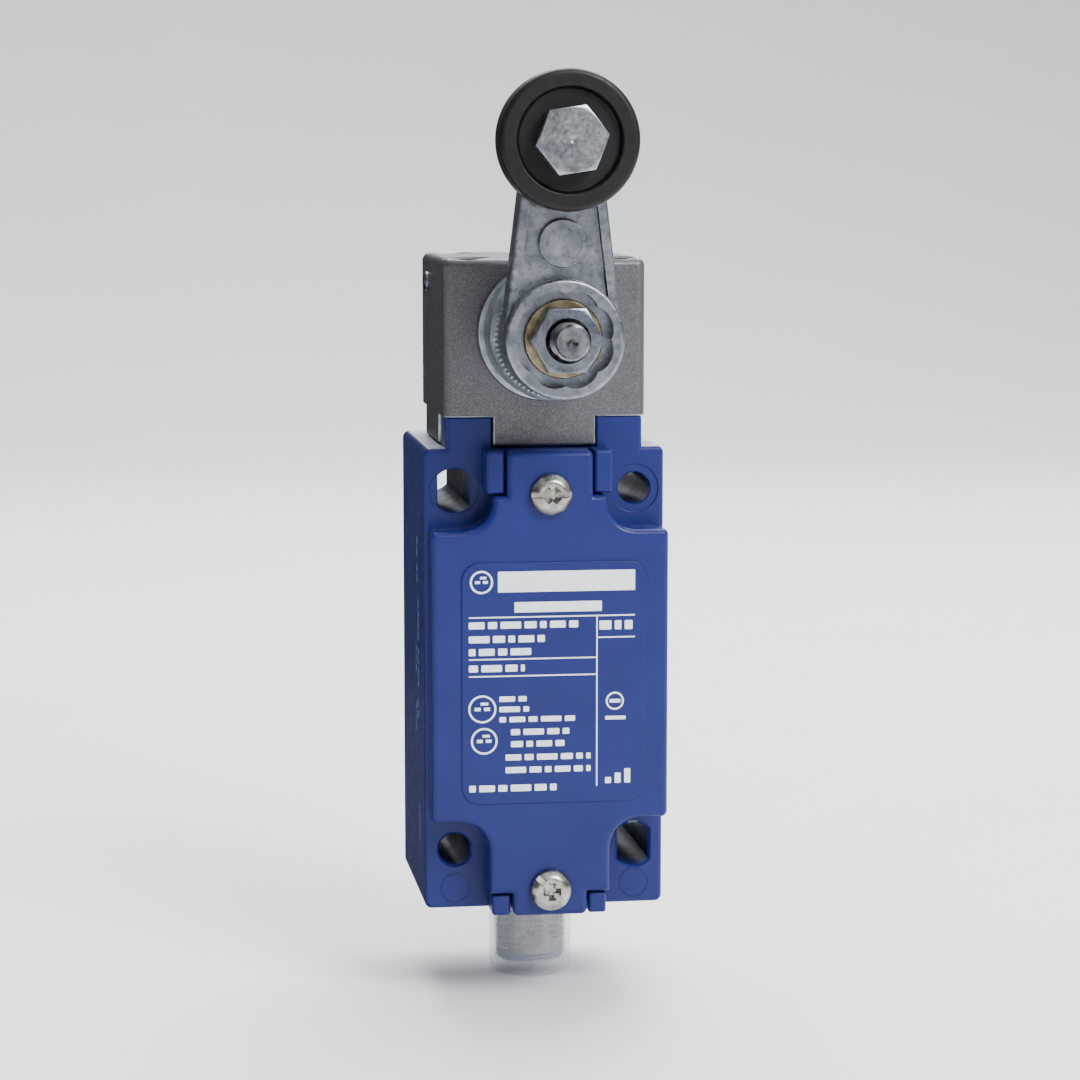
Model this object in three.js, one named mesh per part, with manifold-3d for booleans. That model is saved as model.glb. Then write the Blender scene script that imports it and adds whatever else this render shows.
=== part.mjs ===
// Industrial limit switch: a die-cast body with a screwed cover and an M12 connector, and a roller lever head.
// Millimetres. +X to the right, -Y to the front, +Z up. The origin is on the rear mounting face,
// midway between the four fixing holes.
import * as THREE from "three";
import { mergeVertices, toCreasedNormals } from "three/addons/utils/BufferGeometryUtils.js";
import Module from "manifold-3d";

const wasm = await Module();
wasm.setup();

// ---------- driving dimensions ----------

const SEAT = 0.05; // space between two faces that rest on each other
const FREE = 0.3; // space around a screw, pin or spigot, and between pieces that move apart

const FIXING = { spacingX: 30, spacingZ: 60, bore: 5.3, slotLength: 7.3 };

const HOUSING = {
  width: 40,
  aboveHoles: 7, // casting above the top fixing holes
  belowHoles: 10, // casting below the bottom fixing holes
  depth: 35, // rear face to the plane around the fixing holes
  land: 2, // the land under the cover, in front of that plane
  backWall: 4,
  chamberWall: 2.6, // from the cover's outline to the wiring chamber
  endWall: 4.5, // from a fixing hole's row to the chamber's top
  cornerRadius: 1.2,
};

const COVER = {
  gasket: 1, // thickness of the seal under the cover
  thickness: 4.5,
  skin: 2, // what is left over the hollow behind the cover
  sideStep: 0.4, // the cover is this much narrower than the housing on each side
  shoulder: 6, // the shoulders stop this far short of the fixing holes' centres
  topTab: 14.2,
  bottomTab: 12.4,
  topPocket: 5.7, // radius of the pocket around a top fixing hole
  bottomPocket: 5,
  bottomStep: 3.8, // the bottom tab's step above the casting's lower edge
  edgeRadius: 1,
  padWidth: 3, // raised pads of the casting beside each tab
  label: { left: -14.7, right: 16, top: 19, bottom: -21, raise: 0.3, radius: 3 },
  screwDrop: 5.5, // the lower cover screw, below the lower fixing holes
};

const POST = { size: 7.6, height: 5, pitch: 25, threadDepth: 7.5 };
const SEAT_RECESS = { diameter: 27.6, depth: 2.5 };

const HEAD = {
  size: 33.5,
  height: 26,
  armWidth: 17, // cross arms that drop between the posts
  rim: 26.8, // round rim that drops into the body's seat
  rimDrop: 1.5,
  rimWall: 0.7,
  roof: 3.5,
  shaftHeight: 14, // shaft axis above the corner seats
  counterbore: 7.4,
  counterboreDepth: 4,
  edgeRadius: 1.5,
  bossStep: { diameter: 22.5, length: 1.6 },
  collar: { diameter: 20.8, length: 5.1 },
};

const SHAFT = { journal: 7, body: 9.6, nose: 8.6, stud: 5.9, studReach: 17.6, bushWall: 2.7, rearBearing: 4.2 };
const SEAL = { length: 1.2, sunk: 0.2 }; // shaft seal, just inside the collar's face
const CAM = { radius: 7.2, flat: 5.6, width: 11 };
const RING = { diameter: 21, width: 5.8, web: 1.8, gap: 0.5 };
const HUB = { diameter: 14.1, castles: 8, castleHeight: 3.1, castleGap: 2.4 };

const SLEEVE = {
  diameter: 14,
  reach: 18.5, // below the head's corner seats
  flange: 1.6,
  stroke: 5,
  keys: 4,
  keyWidth: 3,
  keyHeight: 1.2,
  keyBelow: 3.5, // the keys start this far below the disc
  keySpace: 0.2, // between the keys and the return spring
};
const TIP = { diameter: 4, length: 12, stepOut: 0.1 };
const DISC = { thickness: 1.2, inset: 1.1, around: 0.7 };
const RETURN_WIRE = 0.65;
const SIDE_PIN = { diameter: 3, dome: 3.3, height: 0.95, depth: 4, behindAxis: 5.4, belowTop: 4.5 };

const LEVER = {
  length: 31,
  boss: 19,
  bossWidth: 10,
  tip: 11.6,
  arm: 5.2, // thickness of the arm
  pocket: 1.3, // depth of the sunk panel on each side of the arm
  rim: 1.6, // width of the raised edges
  recess: 15.2, // lobed recess on both faces of the boss
  recessDepth: 3.2,
  lobe: 0.35,
  lobes: 8,
  button: 7.7, // round boss in the sunk panel
  buttonAt: 15,
};
const NUT = { acrossFlats: 10, height: 5, washer: 12.5, washerThickness: 1 };
const ROLLER = {
  diameter: 22,
  width: 6.6,
  round: 0.9, // of the tread's edges
  dish: 16.5,
  dishDepth: 1.4,
  bush: 8,
  bore: 6.4,
  washer: 12,
  washerThickness: 0.8,
};
const BOLT = { shank: 6, acrossFlats: 10, head: 4 };

const SCREW = { thread: 4, head: 6.9, headHeight: 2.2, coverReach: 12.5 };

const CONNECTOR = {
  fromBack: 17, // axis, forward of the rear face
  spigot: 17.5,
  spigotLength: 6,
  cone: 23,
  neck: 14,
  coneHeight: 2.5,
  flange: 14.6,
  flangeThickness: 1,
  thread: 11.8,
  threadLength: 9.6,
  shellWall: 1, // of the shell above its flange
  insert: 8.4,
  insertSunk: 3, // the insert's face, up from the thread's end
  pinCircle: 5,
  pin: 1,
  pinSunk: 0.6, // the pins' tips, up from the thread's end
  groove: { high: 1.6, low: 0.5, depth: 0.9 }, // for the sealing ring, up from the thread's end
};
const CAP = { space: 0.35, wall: 0.85, height: 11.6, bottom: 1.4, corner: 2.4 }; // space: round the thread

const BLOCK = {
  width: 27,
  height: 29,
  base: 12, // depth of the rear half
  front: 9, // depth of the front half
  belowChamberTop: 8.5,
  channel: 6,
  screwX: 11.3,
  terminalX: 8.5,
  terminalZ: 9.5, // above and below the block's middle
  terminal: 5.4,
  terminalDepth: 3.6,
  terminalLip: { width: 1.4, depth: 1.2 }, // step for the wire on a terminal's outer side
};
const CONTACT = {
  plunger: 5,
  chamfer: 0.8,
  tipGap: 0.5, // between the head's plunger and the contact plunger
  bridge: 17,
  bridgeWidth: 2.6,
  bridgeHeight: 1.4,
  bridgeTravel: 2,
  bridgeRaise: 1.5, // above the block's middle
  bridgeRoom: 1.2, // under the bridge at the end of its travel
  button: { radius: 1.1, proud: 0.5, fromEnd: 1.4 },
  spring: 4.6,
  springWire: 0.6,
  springLength: 8,
};

const SMALL = { thread: 3, head: 5, headHeight: 1.9, backSkin: 1.5 }; // screws of the contact block
const WIRE = { radius: 0.7, sides: 8, steps: 12 };

// ---------- places worked out from the driving dimensions ----------

const fixX = FIXING.spacingX / 2;
const fixZ = FIXING.spacingZ / 2;
const housingTop = fixZ + HOUSING.aboveHoles;
const housingBottom = -(fixZ + HOUSING.belowHoles);
const earY = -HOUSING.depth;
const landY = earY - HOUSING.land;
const coverBackY = landY - COVER.gasket;
const coverFrontY = coverBackY - COVER.thickness;
const shoulderZ = fixZ - COVER.shoulder;
const chamberTop = fixZ - HOUSING.endWall;
const chamberBottom = -(fixZ + COVER.screwDrop - HOUSING.endWall);
const coverScrewZ = [fixZ, -(fixZ + COVER.screwDrop)];

const headY = earY + POST.size / 2 + POST.pitch / 2; // vertical axis of the head and plunger
const seatZ = housingTop + POST.height;
const recessFloor = housingTop - SEAT_RECESS.depth;

const armBottom = FREE - POST.height; // heights in the head count from its corner seats
const rimBottom = armBottom - HEAD.rimDrop;
const discTop = rimBottom + DISC.inset + DISC.thickness;
const keyReach = SLEEVE.diameter / 2 + SLEEVE.keyHeight;
const seatOpening = 2 * (keyReach + FREE);
const chamberR = Math.max(
  Math.hypot(CAM.radius, CAM.width / 2) + FREE, // the cam turns inside it
  keyReach + SLEEVE.keySpace + RETURN_WIRE + FREE - SEAT, // the return spring goes round the keys
);

const collarFront = -(HEAD.size / 2 + HEAD.bossStep.length + HEAD.collar.length); // from the head's axis
const ringRear = collarFront - RING.gap;
const ringFront = ringRear - RING.width;
const leverRear = ringFront - FREE;
const leverFront = leverRear - LEVER.bossWidth;
const studTip = ringFront - SHAFT.studReach;

// ---------- shape helpers ----------

const ARC_STEP = Math.PI / 10;
const SIDES = { large: 30, medium: 24, small: 14, tiny: 10 }; // of round shapes, by size
const TURN = 2 * Math.PI;
const CREASE = Math.PI / 5;

/** A manifold-3d solid from a closed three.js geometry. */
function solid(geometry) {
  const bare = geometry.clone();
  bare.deleteAttribute("normal");
  bare.deleteAttribute("uv");
  const merged = mergeVertices(bare, 1e-4);
  return new wasm.Manifold(
    new wasm.Mesh({
      numProp: 3,
      vertProperties: merged.attributes.position.array,
      triVerts: new Uint32Array(merged.index.array),
    }),
  );
}

/** A three.js geometry from a manifold-3d solid. */
function geometryOf(shape) {
  const { vertProperties, triVerts } = shape.getMesh();
  const geometry = new THREE.BufferGeometry();
  geometry.setAttribute("position", new THREE.BufferAttribute(vertProperties, 3));
  geometry.setIndex(new THREE.BufferAttribute(triVerts, 1));
  return geometry;
}

/** Joins a list of geometries. */
function join(list) {
  return geometryOf(list.map(solid).reduce((sum, next) => sum.add(next)));
}

/** Cuts a list of geometries out of one. */
function cut(base, tools) {
  return geometryOf(tools.map(solid).reduce((rest, tool) => rest.subtract(tool), solid(base)));
}

/** What two geometries have in common. */
function common(a, b) {
  return geometryOf(solid(a).intersect(solid(b)));
}

/** One closed outline through corners [x, y, radius], each corner rounded to its own radius. */
function roundedOutline(corners) {
  const points = [];
  corners.forEach(([x, y, radius], i) => {
    const corner = new THREE.Vector2(x, y);
    if (!radius) {
      points.push(corner);
      return;
    }
    const [bx, by] = corners[(i + corners.length - 1) % corners.length];
    const [ax, ay] = corners[(i + 1) % corners.length];
    const back = new THREE.Vector2(bx - x, by - y).normalize();
    const ahead = new THREE.Vector2(ax - x, ay - y).normalize();
    const half = Math.acos(back.dot(ahead)) / 2;
    const centre = back.clone().add(ahead).normalize().multiplyScalar(radius / Math.sin(half)).add(corner);
    const start = back.clone().multiplyScalar(radius / Math.tan(half)).add(corner);
    const sweep = (Math.PI - 2 * half) * Math.sign(ahead.cross(back));
    const steps = Math.ceil(Math.abs(sweep) / ARC_STEP);
    for (let k = 0; k <= steps; k++) points.push(start.clone().rotateAround(centre, (sweep * k) / steps));
  });
  return new THREE.Shape(points);
}

/** A rectangle's outline with rounded corners. */
function rectangle(left, right, low, high, radius = 0) {
  return roundedOutline([
    [left, low, radius],
    [right, low, radius],
    [right, high, radius],
    [left, high, radius],
  ]);
}

/** A box from its limits. */
function box(x0, x1, y0, y1, z0, z1) {
  return new THREE.BoxGeometry(x1 - x0, y1 - y0, z1 - z0).translate((x0 + x1) / 2, (y0 + y1) / 2, (z0 + z1) / 2);
}

/** An outline drawn in X-Z, as seen from the front, made thick from y = back forward to y = front. */
function frontPlate(outline, back, front) {
  const settings = { depth: back - front, bevelEnabled: false };
  return new THREE.ExtrudeGeometry(outline, settings).rotateX(Math.PI / 2).translate(0, back, 0);
}

/** An outline drawn in X-Y, as seen from above, made thick from z = low to z = high. */
function planPlate(outline, low, high) {
  return new THREE.ExtrudeGeometry(outline, { depth: high - low, bevelEnabled: false }).translate(0, 0, low);
}

/** A shape turned about the Y axis from a closed profile of [radius, y]. */
function turnedY(profile, sides = SIDES.medium) {
  const outline = profile.map(([r, y]) => new THREE.Vector2(r, y));
  if (THREE.ShapeUtils.area(outline) < 0) outline.reverse();
  outline.push(outline[0].clone());
  return new THREE.LatheGeometry(outline, sides);
}

/** A shape turned about the Z axis from a closed profile of [radius, z]. */
function turnedZ(profile, sides = SIDES.medium) {
  return turnedY(profile, sides).rotateX(Math.PI / 2);
}

/** A ring or, with inner = 0, a rod along Y. */
function ringY(outer, inner, y0, y1, sides = SIDES.medium) {
  return turnedY([[inner, y0], [outer, y0], [outer, y1], [inner, y1]], sides);
}

/** A ring or, with inner = 0, a rod along Z. */
function ringZ(outer, inner, z0, z1, sides = SIDES.medium) {
  return turnedZ([[inner, z0], [outer, z0], [outer, z1], [inner, z1]], sides);
}

/** Calls make for each of the four [sideX, sideY] corners. */
function corners(make) {
  return [[-1, -1], [1, -1], [-1, 1], [1, 1]].map(([sx, sy], i) => make(sx, sy, i + 1));
}

/** Copies of a geometry turned evenly about the Z axis. */
function aroundZ(shape, count, start = 0) {
  return Array.from({ length: count }, (_, i) => shape.clone().rotateZ(start + (TURN * i) / count));
}

/** Copies of a geometry turned evenly about the Y axis. */
function aroundY(shape, count, start = 0) {
  return Array.from({ length: count }, (_, i) => shape.clone().rotateY(start + (TURN * i) / count));
}

/** A hexagon's outline, across flats. */
function hexagon(acrossFlats, turn = 0) {
  const radius = acrossFlats / Math.sqrt(3);
  const points = Array.from({ length: 6 }, (_, i) => {
    const a = turn + (TURN * i) / 6;
    return new THREE.Vector2(radius * Math.cos(a), radius * Math.sin(a));
  });
  return new THREE.Shape(points);
}

// ---------- materials ----------

const finish = (color, roughness, metalness, extra = {}) =>
  new THREE.MeshStandardMaterial({ color, roughness, metalness, ...extra });

const FINISH = {
  bluePaint: () => finish(0x3b4c92, 0.35, 0.0),
  greyPaint: () => finish(0x6e6e70, 0.4, 0.5),
  zinc: () => finish(0x9aa3a3, 0.45, 0.9),
  steel: () => finish(0x8f8d88, 0.3, 1.0),
  darkSteel: () => finish(0x3a3a3c, 0.4, 0.9),
  brass: () => finish(0xb08d4a, 0.35, 1.0),
  nickel: () => finish(0xc9c3b0, 0.3, 1.0),
  silver: () => finish(0xd8d8d6, 0.25, 1.0),
  blackPlastic: () => finish(0x141414, 0.45, 0.0),
  greyPlastic: () => finish(0x9c9ca6, 0.55, 0.0),
  whitePlastic: () => finish(0xe4e9ee, 0.4, 0.0),
  rubber: () => finish(0x1b1b1c, 0.8, 0.0),
  blueRubber: () => finish(0x2c4a86, 0.6, 0.0),
  nylon: () => finish(0xc4d2dc, 0.5, 0.0),
  translucent: () => finish(0xc9d0da, 0.35, 0.0, { transparent: true, opacity: 0.45 }),
  wire: (color) => finish(color, 0.5, 0.0),
};

/** A named mesh from a closed geometry, with its edges kept crisp. */
function piece(name, shape, material) {
  const mesh = new THREE.Mesh(toCreasedNormals(shape, CREASE), material);
  mesh.name = name;
  return mesh;
}

/** A group at a place, holding its children. */
function group(position, ...children) {
  const made = new THREE.Group();
  made.position.set(...position);
  made.add(...children);
  return made;
}

// ---------- body ----------

/** The cover's outline, drawn in by inset on every side. */
function coverOutline(inset) {
  const side = HOUSING.width / 2 - COVER.sideStep - inset;
  const topStep = fixX - COVER.topPocket - inset;
  const bottomStep = fixX - COVER.bottomPocket - inset;
  const edge = Math.max(COVER.edgeRadius - inset, 0.3);
  const tabTop = housingTop - inset;
  const tabBottom = housingBottom + inset;
  const ledge = shoulderZ + COVER.topPocket;
  const right = [
    [COVER.bottomTab / 2 - inset, tabBottom, edge],
    [COVER.bottomTab / 2 - inset, housingBottom + COVER.bottomStep + inset, 0],
    [bottomStep, housingBottom + COVER.bottomStep + inset, 0],
    [bottomStep, -shoulderZ + inset, COVER.bottomPocket + inset],
    [side, -shoulderZ + inset, edge],
    [side, shoulderZ - inset, edge],
    [topStep, shoulderZ - inset, COVER.topPocket + inset],
    [topStep, ledge, 0],
    [COVER.topTab / 2 - inset, ledge, 0],
    [COVER.topTab / 2 - inset, tabTop, edge],
  ];
  return roundedOutline([...right, ...right.map(([x, z, r]) => [-x, z, r]).reverse()]);
}

/** A fixing hole's shape: round, or widened along Z with straight sides. */
function fixingHole(x, z, slotted) {
  const back = FREE;
  const front = landY - FREE;
  const round = (radius) => ringY(radius, 0, front, back, SIDES.small).translate(x, 0, z);
  if (!slotted) return round(FIXING.bore / 2);
  const half = FIXING.bore / 2;
  const strip = box(x - half, x + half, front, back, z - FIXING.slotLength, z + FIXING.slotLength);
  return common(round(FIXING.slotLength / 2), strip);
}

/** Plan outline of a post at one corner of the head, rounded on its outer rear corner. */
function postOutline(sx, sy) {
  const half = POST.size / 2;
  const cx = (sx * POST.pitch) / 2;
  const cy = headY + (sy * POST.pitch) / 2;
  const outer = sy > 0 ? 2.4 : 0.6;
  const radius = (ix, iy) => (ix === sx && iy === sy ? outer : 0);
  return roundedOutline([
    [cx - half, cy - half, radius(-1, -1)],
    [cx + half, cy - half, radius(1, -1)],
    [cx + half, cy + half, radius(1, 1)],
    [cx - half, cy + half, radius(-1, 1)],
  ]);
}

function housing() {
  const half = HOUSING.width / 2;
  const padGap = FREE;
  const ledge = shoulderZ + COVER.topPocket;
  const padFront = coverFrontY + 1;
  const pads = [-1, 1].flatMap((side) => {
    const span = (inner, width) => [side * inner, side * (inner + width)].sort((a, b) => a - b);
    const [t0, t1] = span(COVER.topTab / 2 + padGap, COVER.padWidth);
    const [b0, b1] = span(COVER.bottomTab / 2 + padGap, COVER.padWidth);
    return [
      box(t0, t1, padFront, earY + 1, ledge + padGap, housingTop),
      box(b0, b1, padFront, earY + 1, housingBottom, housingBottom + COVER.bottomStep - padGap),
    ];
  });
  const casting = join([
    frontPlate(rectangle(-half, half, housingBottom, housingTop, HOUSING.cornerRadius), 0, earY),
    frontPlate(coverOutline(FREE), earY + 1, landY),
    ...pads,
    ...corners((sx, sy) => planPlate(postOutline(sx, sy), housingTop - 1, seatZ)),
  ]);
  const chamber = common(
    frontPlate(coverOutline(HOUSING.chamberWall), -HOUSING.backWall, landY - 1),
    box(-half, half, landY - 1, 0, chamberBottom, chamberTop),
  );
  const entry = -CONNECTOR.fromBack;
  const entryFloor = housingBottom + CONNECTOR.spigotLength + FREE;
  const holes = [
    ...[[-1, 1, true], [1, 1, false], [-1, -1, false], [1, -1, true]].map(([sx, sz, slotted]) =>
      fixingHole(sx * fixX, sz * fixZ, slotted),
    ),
    ...coverScrewZ.map((z) =>
      ringY(SCREW.thread / 2 + FREE, 0, landY - 1, landY + SCREW.coverReach - 4, SIDES.small).translate(0, 0, z),
    ),
    ...corners((sx, sy) =>
      ringZ(SCREW.thread / 2 + FREE, 0, seatZ - POST.threadDepth, seatZ + 1, SIDES.small).translate(
        (sx * POST.pitch) / 2,
        headY + (sy * POST.pitch) / 2,
        0,
      ),
    ),
    ringZ(SEAT_RECESS.diameter / 2, 0, recessFloor, seatZ + 1, SIDES.large).translate(0, headY, 0),
    ringZ(seatOpening / 2, 0, shoulderZ - HOUSING.chamberWall, seatZ, SIDES.medium).translate(0, headY, 0),
    ringZ(CONNECTOR.spigot / 2 + FREE, 0, housingBottom - 1, entryFloor, SIDES.medium).translate(0, entry, 0),
    ringZ(CONNECTOR.neck / 2, 0, entryFloor - 1, chamberBottom + 1, SIDES.small).translate(0, entry, 0),
    ...[...blockScrewPlaces, [earthX, earthZ]].map(([x, z]) =>
      ringY(SMALL.thread / 2 + FREE, 0, -HOUSING.backWall - 1, -SMALL.backSkin, SIDES.tiny).translate(x, 0, z),
    ),
  ];
  return piece("housing", cut(casting, [chamber, ...holes]), FINISH.bluePaint());
}

function coverGasket() {
  const outer = frontPlate(coverOutline(FREE), landY - SEAT, coverBackY + SEAT);
  const inner = frontPlate(coverOutline(HOUSING.chamberWall - FREE), landY + 1, coverBackY - 1);
  const keep = box(-HOUSING.width, HOUSING.width, coverBackY, landY, chamberBottom, chamberTop);
  const screwHoles = coverScrewZ.map((z) =>
    ringY(SCREW.thread / 2 + FREE, 0, coverBackY - 1, landY + 1, SIDES.small).translate(0, 0, z),
  );
  return piece("cover_gasket", cut(outer, [common(inner, keep), ...screwHoles]), FINISH.rubber());
}

function cover() {
  const { left, right, top, bottom, raise, radius } = COVER.label;
  const shell = join([
    frontPlate(coverOutline(0), coverBackY, coverFrontY),
    frontPlate(rectangle(left, right, bottom, top, radius), coverBackY, coverFrontY - raise),
  ]);
  const hollow = common(
    frontPlate(coverOutline(HOUSING.chamberWall), coverBackY + 1, coverFrontY + COVER.skin),
    box(-HOUSING.width, HOUSING.width, coverFrontY, coverBackY + 1, chamberBottom, chamberTop),
  );
  const screwHoles = coverScrewZ.map((z) =>
    ringY(SCREW.thread / 2 + FREE, 0, coverFrontY - 1, coverBackY + 1, SIDES.small).translate(0, 0, z),
  );
  return piece("cover", cut(shell, [hollow, ...screwHoles]), FINISH.bluePaint());
}

/**
 * A pan-head screw along Y with its head to the front and seated at y = 0.
 * Its slot is turned by slotTurn, and a crossed screw has a recess at 45 degrees to the slot as well.
 */
function panScrew({ head, headHeight, thread, reach, slotTurn, crossed }) {
  const crown = headHeight * 0.35;
  const body = turnedY(
    [
      [0, reach],
      [thread / 2, reach],
      [thread / 2, -SEAT],
      [head / 2, -SEAT],
      [head / 2, -headHeight + crown],
      [head / 2 - crown, -headHeight],
      [0, -headHeight],
    ],
    SIDES.small,
  );
  const slot = box(-head, head, -headHeight - 1, -headHeight * 0.55, -head * 0.07, head * 0.07);
  const cross = box(-head * 0.2, head * 0.2, -headHeight - 1, -headHeight * 0.4, -head * 0.08, head * 0.08);
  const tools = crossed ? [slot, ...[1, -1].map((way) => cross.clone().rotateY((way * Math.PI) / 4))] : [slot];
  return cut(body, tools).rotateY(slotTurn);
}

function coverScrews() {
  const names = ["cover_screw_top", "cover_screw_bottom"];
  return coverScrewZ.map((z, i) => {
    const reach = SCREW.coverReach - 2 * FREE;
    const screw = panScrew({ ...SCREW, reach, slotTurn: i ? Math.PI / 4 : 0, crossed: true });
    const mesh = piece(names[i], screw, FINISH.steel());
    mesh.position.set(0, coverFrontY, z);
    return mesh;
  });
}

function headGasket() {
  const outer = SEAT_RECESS.diameter / 2 - FREE;
  const width = (SEAT_RECESS.diameter - seatOpening) / 2 - 2 * FREE - 2;
  const high = seatZ + rimBottom - SEAT;
  const mesh = piece("head_gasket", ringZ(outer, outer - width, recessFloor + SEAT, high, SIDES.large), FINISH.rubber());
  mesh.position.set(0, headY, 0);
  return mesh;
}

// ---------- contact block ----------

const blockTop = chamberTop - BLOCK.belowChamberTop;
const blockBottom = blockTop - BLOCK.height;
const blockMiddle = (blockTop + blockBottom) / 2;
const blockBackY = -HOUSING.backWall - SEAT;
const splitY = blockBackY - BLOCK.base;
const blockFrontY = splitY - BLOCK.front;
const terminalZs = [blockMiddle - BLOCK.terminalZ, blockMiddle + BLOCK.terminalZ];
const blockScrewPlaces = [[-BLOCK.screwX, blockMiddle], [BLOCK.screwX, blockMiddle]];
const earthX = HOUSING.width / 2 - 8;
const earthZ = -shoulderZ + HOUSING.chamberWall + SMALL.head / 2 + 1;

const contactTop = seatZ - SLEEVE.reach - TIP.stepOut - CONTACT.tipGap;
const bridgeZ = blockMiddle + CONTACT.bridgeRaise;
const bridgeDown = CONTACT.bridgeTravel + CONTACT.bridgeRoom;
const plungerFoot = bridgeZ + CONTACT.bridgeHeight / 2 + SLEEVE.stroke - CONTACT.bridgeTravel + FREE;
const springFloor = bridgeZ - CONTACT.springLength;

function contactBlock() {
  const half = BLOCK.width / 2;
  const outline = rectangle(-half, half, blockBottom, blockTop, 1);
  const screwHole = ([x, z]) => ringY(SMALL.thread / 2 + FREE, 0, blockFrontY - 1, 1, SIDES.tiny).translate(x, 0, z);
  const slotHalf = CONTACT.bridge / 2 + FREE;
  const channelHalf = BLOCK.channel / 2;
  const nearY = headY + channelHalf;
  const farY = headY - channelHalf;
  const channel = [
    box(-channelHalf, channelHalf, farY, nearY, springFloor, blockTop + 1),
    box(-slotHalf, slotHalf, farY, nearY, bridgeZ - bridgeDown - CONTACT.bridgeHeight / 2, bridgeZ + CONTACT.bridgeHeight),
  ];
  const holes = blockScrewPlaces.map(screwHole);
  const base = cut(frontPlate(outline, blockBackY, splitY + SEAT), [...holes, ...channel]);
  const front = cut(frontPlate(outline, splitY - SEAT, blockFrontY), [...holes, ...channel]);
  return [
    piece("contact_block_base", base, FINISH.blackPlastic()),
    piece("contact_block_front", front, FINISH.greyPlastic()),
    ...blockScrewPlaces.map(([x, z], i) => {
      const reach = blockFrontY * -1 - SMALL.backSkin - 2 * FREE;
      const mesh = piece(`block_screw_${i + 1}`, panScrew({ ...SMALL, reach, slotTurn: i }), FINISH.steel());
      mesh.position.set(x, blockFrontY, z);
      return mesh;
    }),
  ];
}

/** Four clamp terminals on the block's front, each with its screw. */
function terminals() {
  const half = BLOCK.terminal / 2;
  const { width: lipWidth, depth: lipDepth } = BLOCK.terminalLip;
  const frontY = blockFrontY - SEAT - BLOCK.terminalDepth;
  const places = terminalZs.flatMap((z) => [-BLOCK.terminalX, BLOCK.terminalX].map((x) => [x, z]));
  return places.flatMap(([x, z], i) => {
    const clamp = cut(
      frontPlate(rectangle(-half, half, -half, half, 0.5), blockFrontY - SEAT, frontY),
      [
        ringY(SMALL.thread / 2 + FREE, 0, frontY - 1, blockFrontY + 1, SIDES.tiny),
        box(half - lipWidth, half + 1, frontY - 1, frontY + lipDepth, -half - 1, half + 1),
      ],
    );
    const reach = BLOCK.terminalDepth - FREE;
    const screw = panScrew({ ...SMALL, head: BLOCK.terminal - 0.8, reach, slotTurn: i * 0.6 });
    const clampMesh = piece(`terminal_${i + 1}`, clamp, FINISH.brass());
    const screwMesh = piece(`terminal_screw_${i + 1}`, screw, FINISH.steel());
    clampMesh.position.set(x, 0, z);
    screwMesh.position.set(x, frontY, z);
    return [clampMesh, screwMesh];
  });
}

function earthScrew() {
  const reach = HOUSING.backWall - SMALL.backSkin - FREE;
  const mesh = piece("earth_screw", panScrew({ ...SMALL, head: SMALL.head + 1, reach, slotTurn: 0.4 }), FINISH.brass());
  mesh.position.set(earthX, -HOUSING.backWall, earthZ);
  return mesh;
}

function contactPlunger() {
  const r = CONTACT.plunger / 2;
  const shape = turnedZ(
    [
      [0, plungerFoot],
      [r, plungerFoot],
      [r, contactTop - CONTACT.chamfer],
      [r - CONTACT.chamfer, contactTop],
      [0, contactTop],
    ],
    SIDES.small,
  );
  const mesh = piece("contact_plunger", shape, FINISH.whitePlastic());
  mesh.position.set(0, headY, 0);
  return mesh;
}

function contactBridge() {
  const half = CONTACT.bridge / 2;
  const h = CONTACT.bridgeHeight / 2;
  const { radius, proud, fromEnd } = CONTACT.button;
  const bar = box(-half, half, -CONTACT.bridgeWidth / 2, CONTACT.bridgeWidth / 2, bridgeZ - h, bridgeZ + h);
  const button = ringZ(radius, 0, bridgeZ - h - proud, bridgeZ + h + proud, SIDES.tiny);
  const buttons = [-1, 1].map((side) => button.clone().translate(side * (half - fromEnd), 0, 0));
  const mesh = piece("contact_bridge", join([bar, ...buttons]), FINISH.silver());
  mesh.position.set(0, headY, 0);
  return mesh;
}

function contactSpring() {
  const top = bridgeZ - CONTACT.bridgeHeight / 2 - SEAT;
  const outer = CONTACT.spring / 2;
  const mesh = piece("contact_spring", ringZ(outer, outer - CONTACT.springWire, springFloor + SEAT, top, SIDES.small), FINISH.steel());
  mesh.position.set(0, headY, 0);
  return mesh;
}

// ---------- connector, heights counted down from the casting's lower edge ----------

const flangeTop = -CONNECTOR.coneHeight - SEAT;
const threadTop = flangeTop - CONNECTOR.flangeThickness;
const threadEnd = threadTop - CONNECTOR.threadLength;
const groove = { high: threadEnd + CONNECTOR.groove.high, low: threadEnd + CONNECTOR.groove.low };

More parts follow.
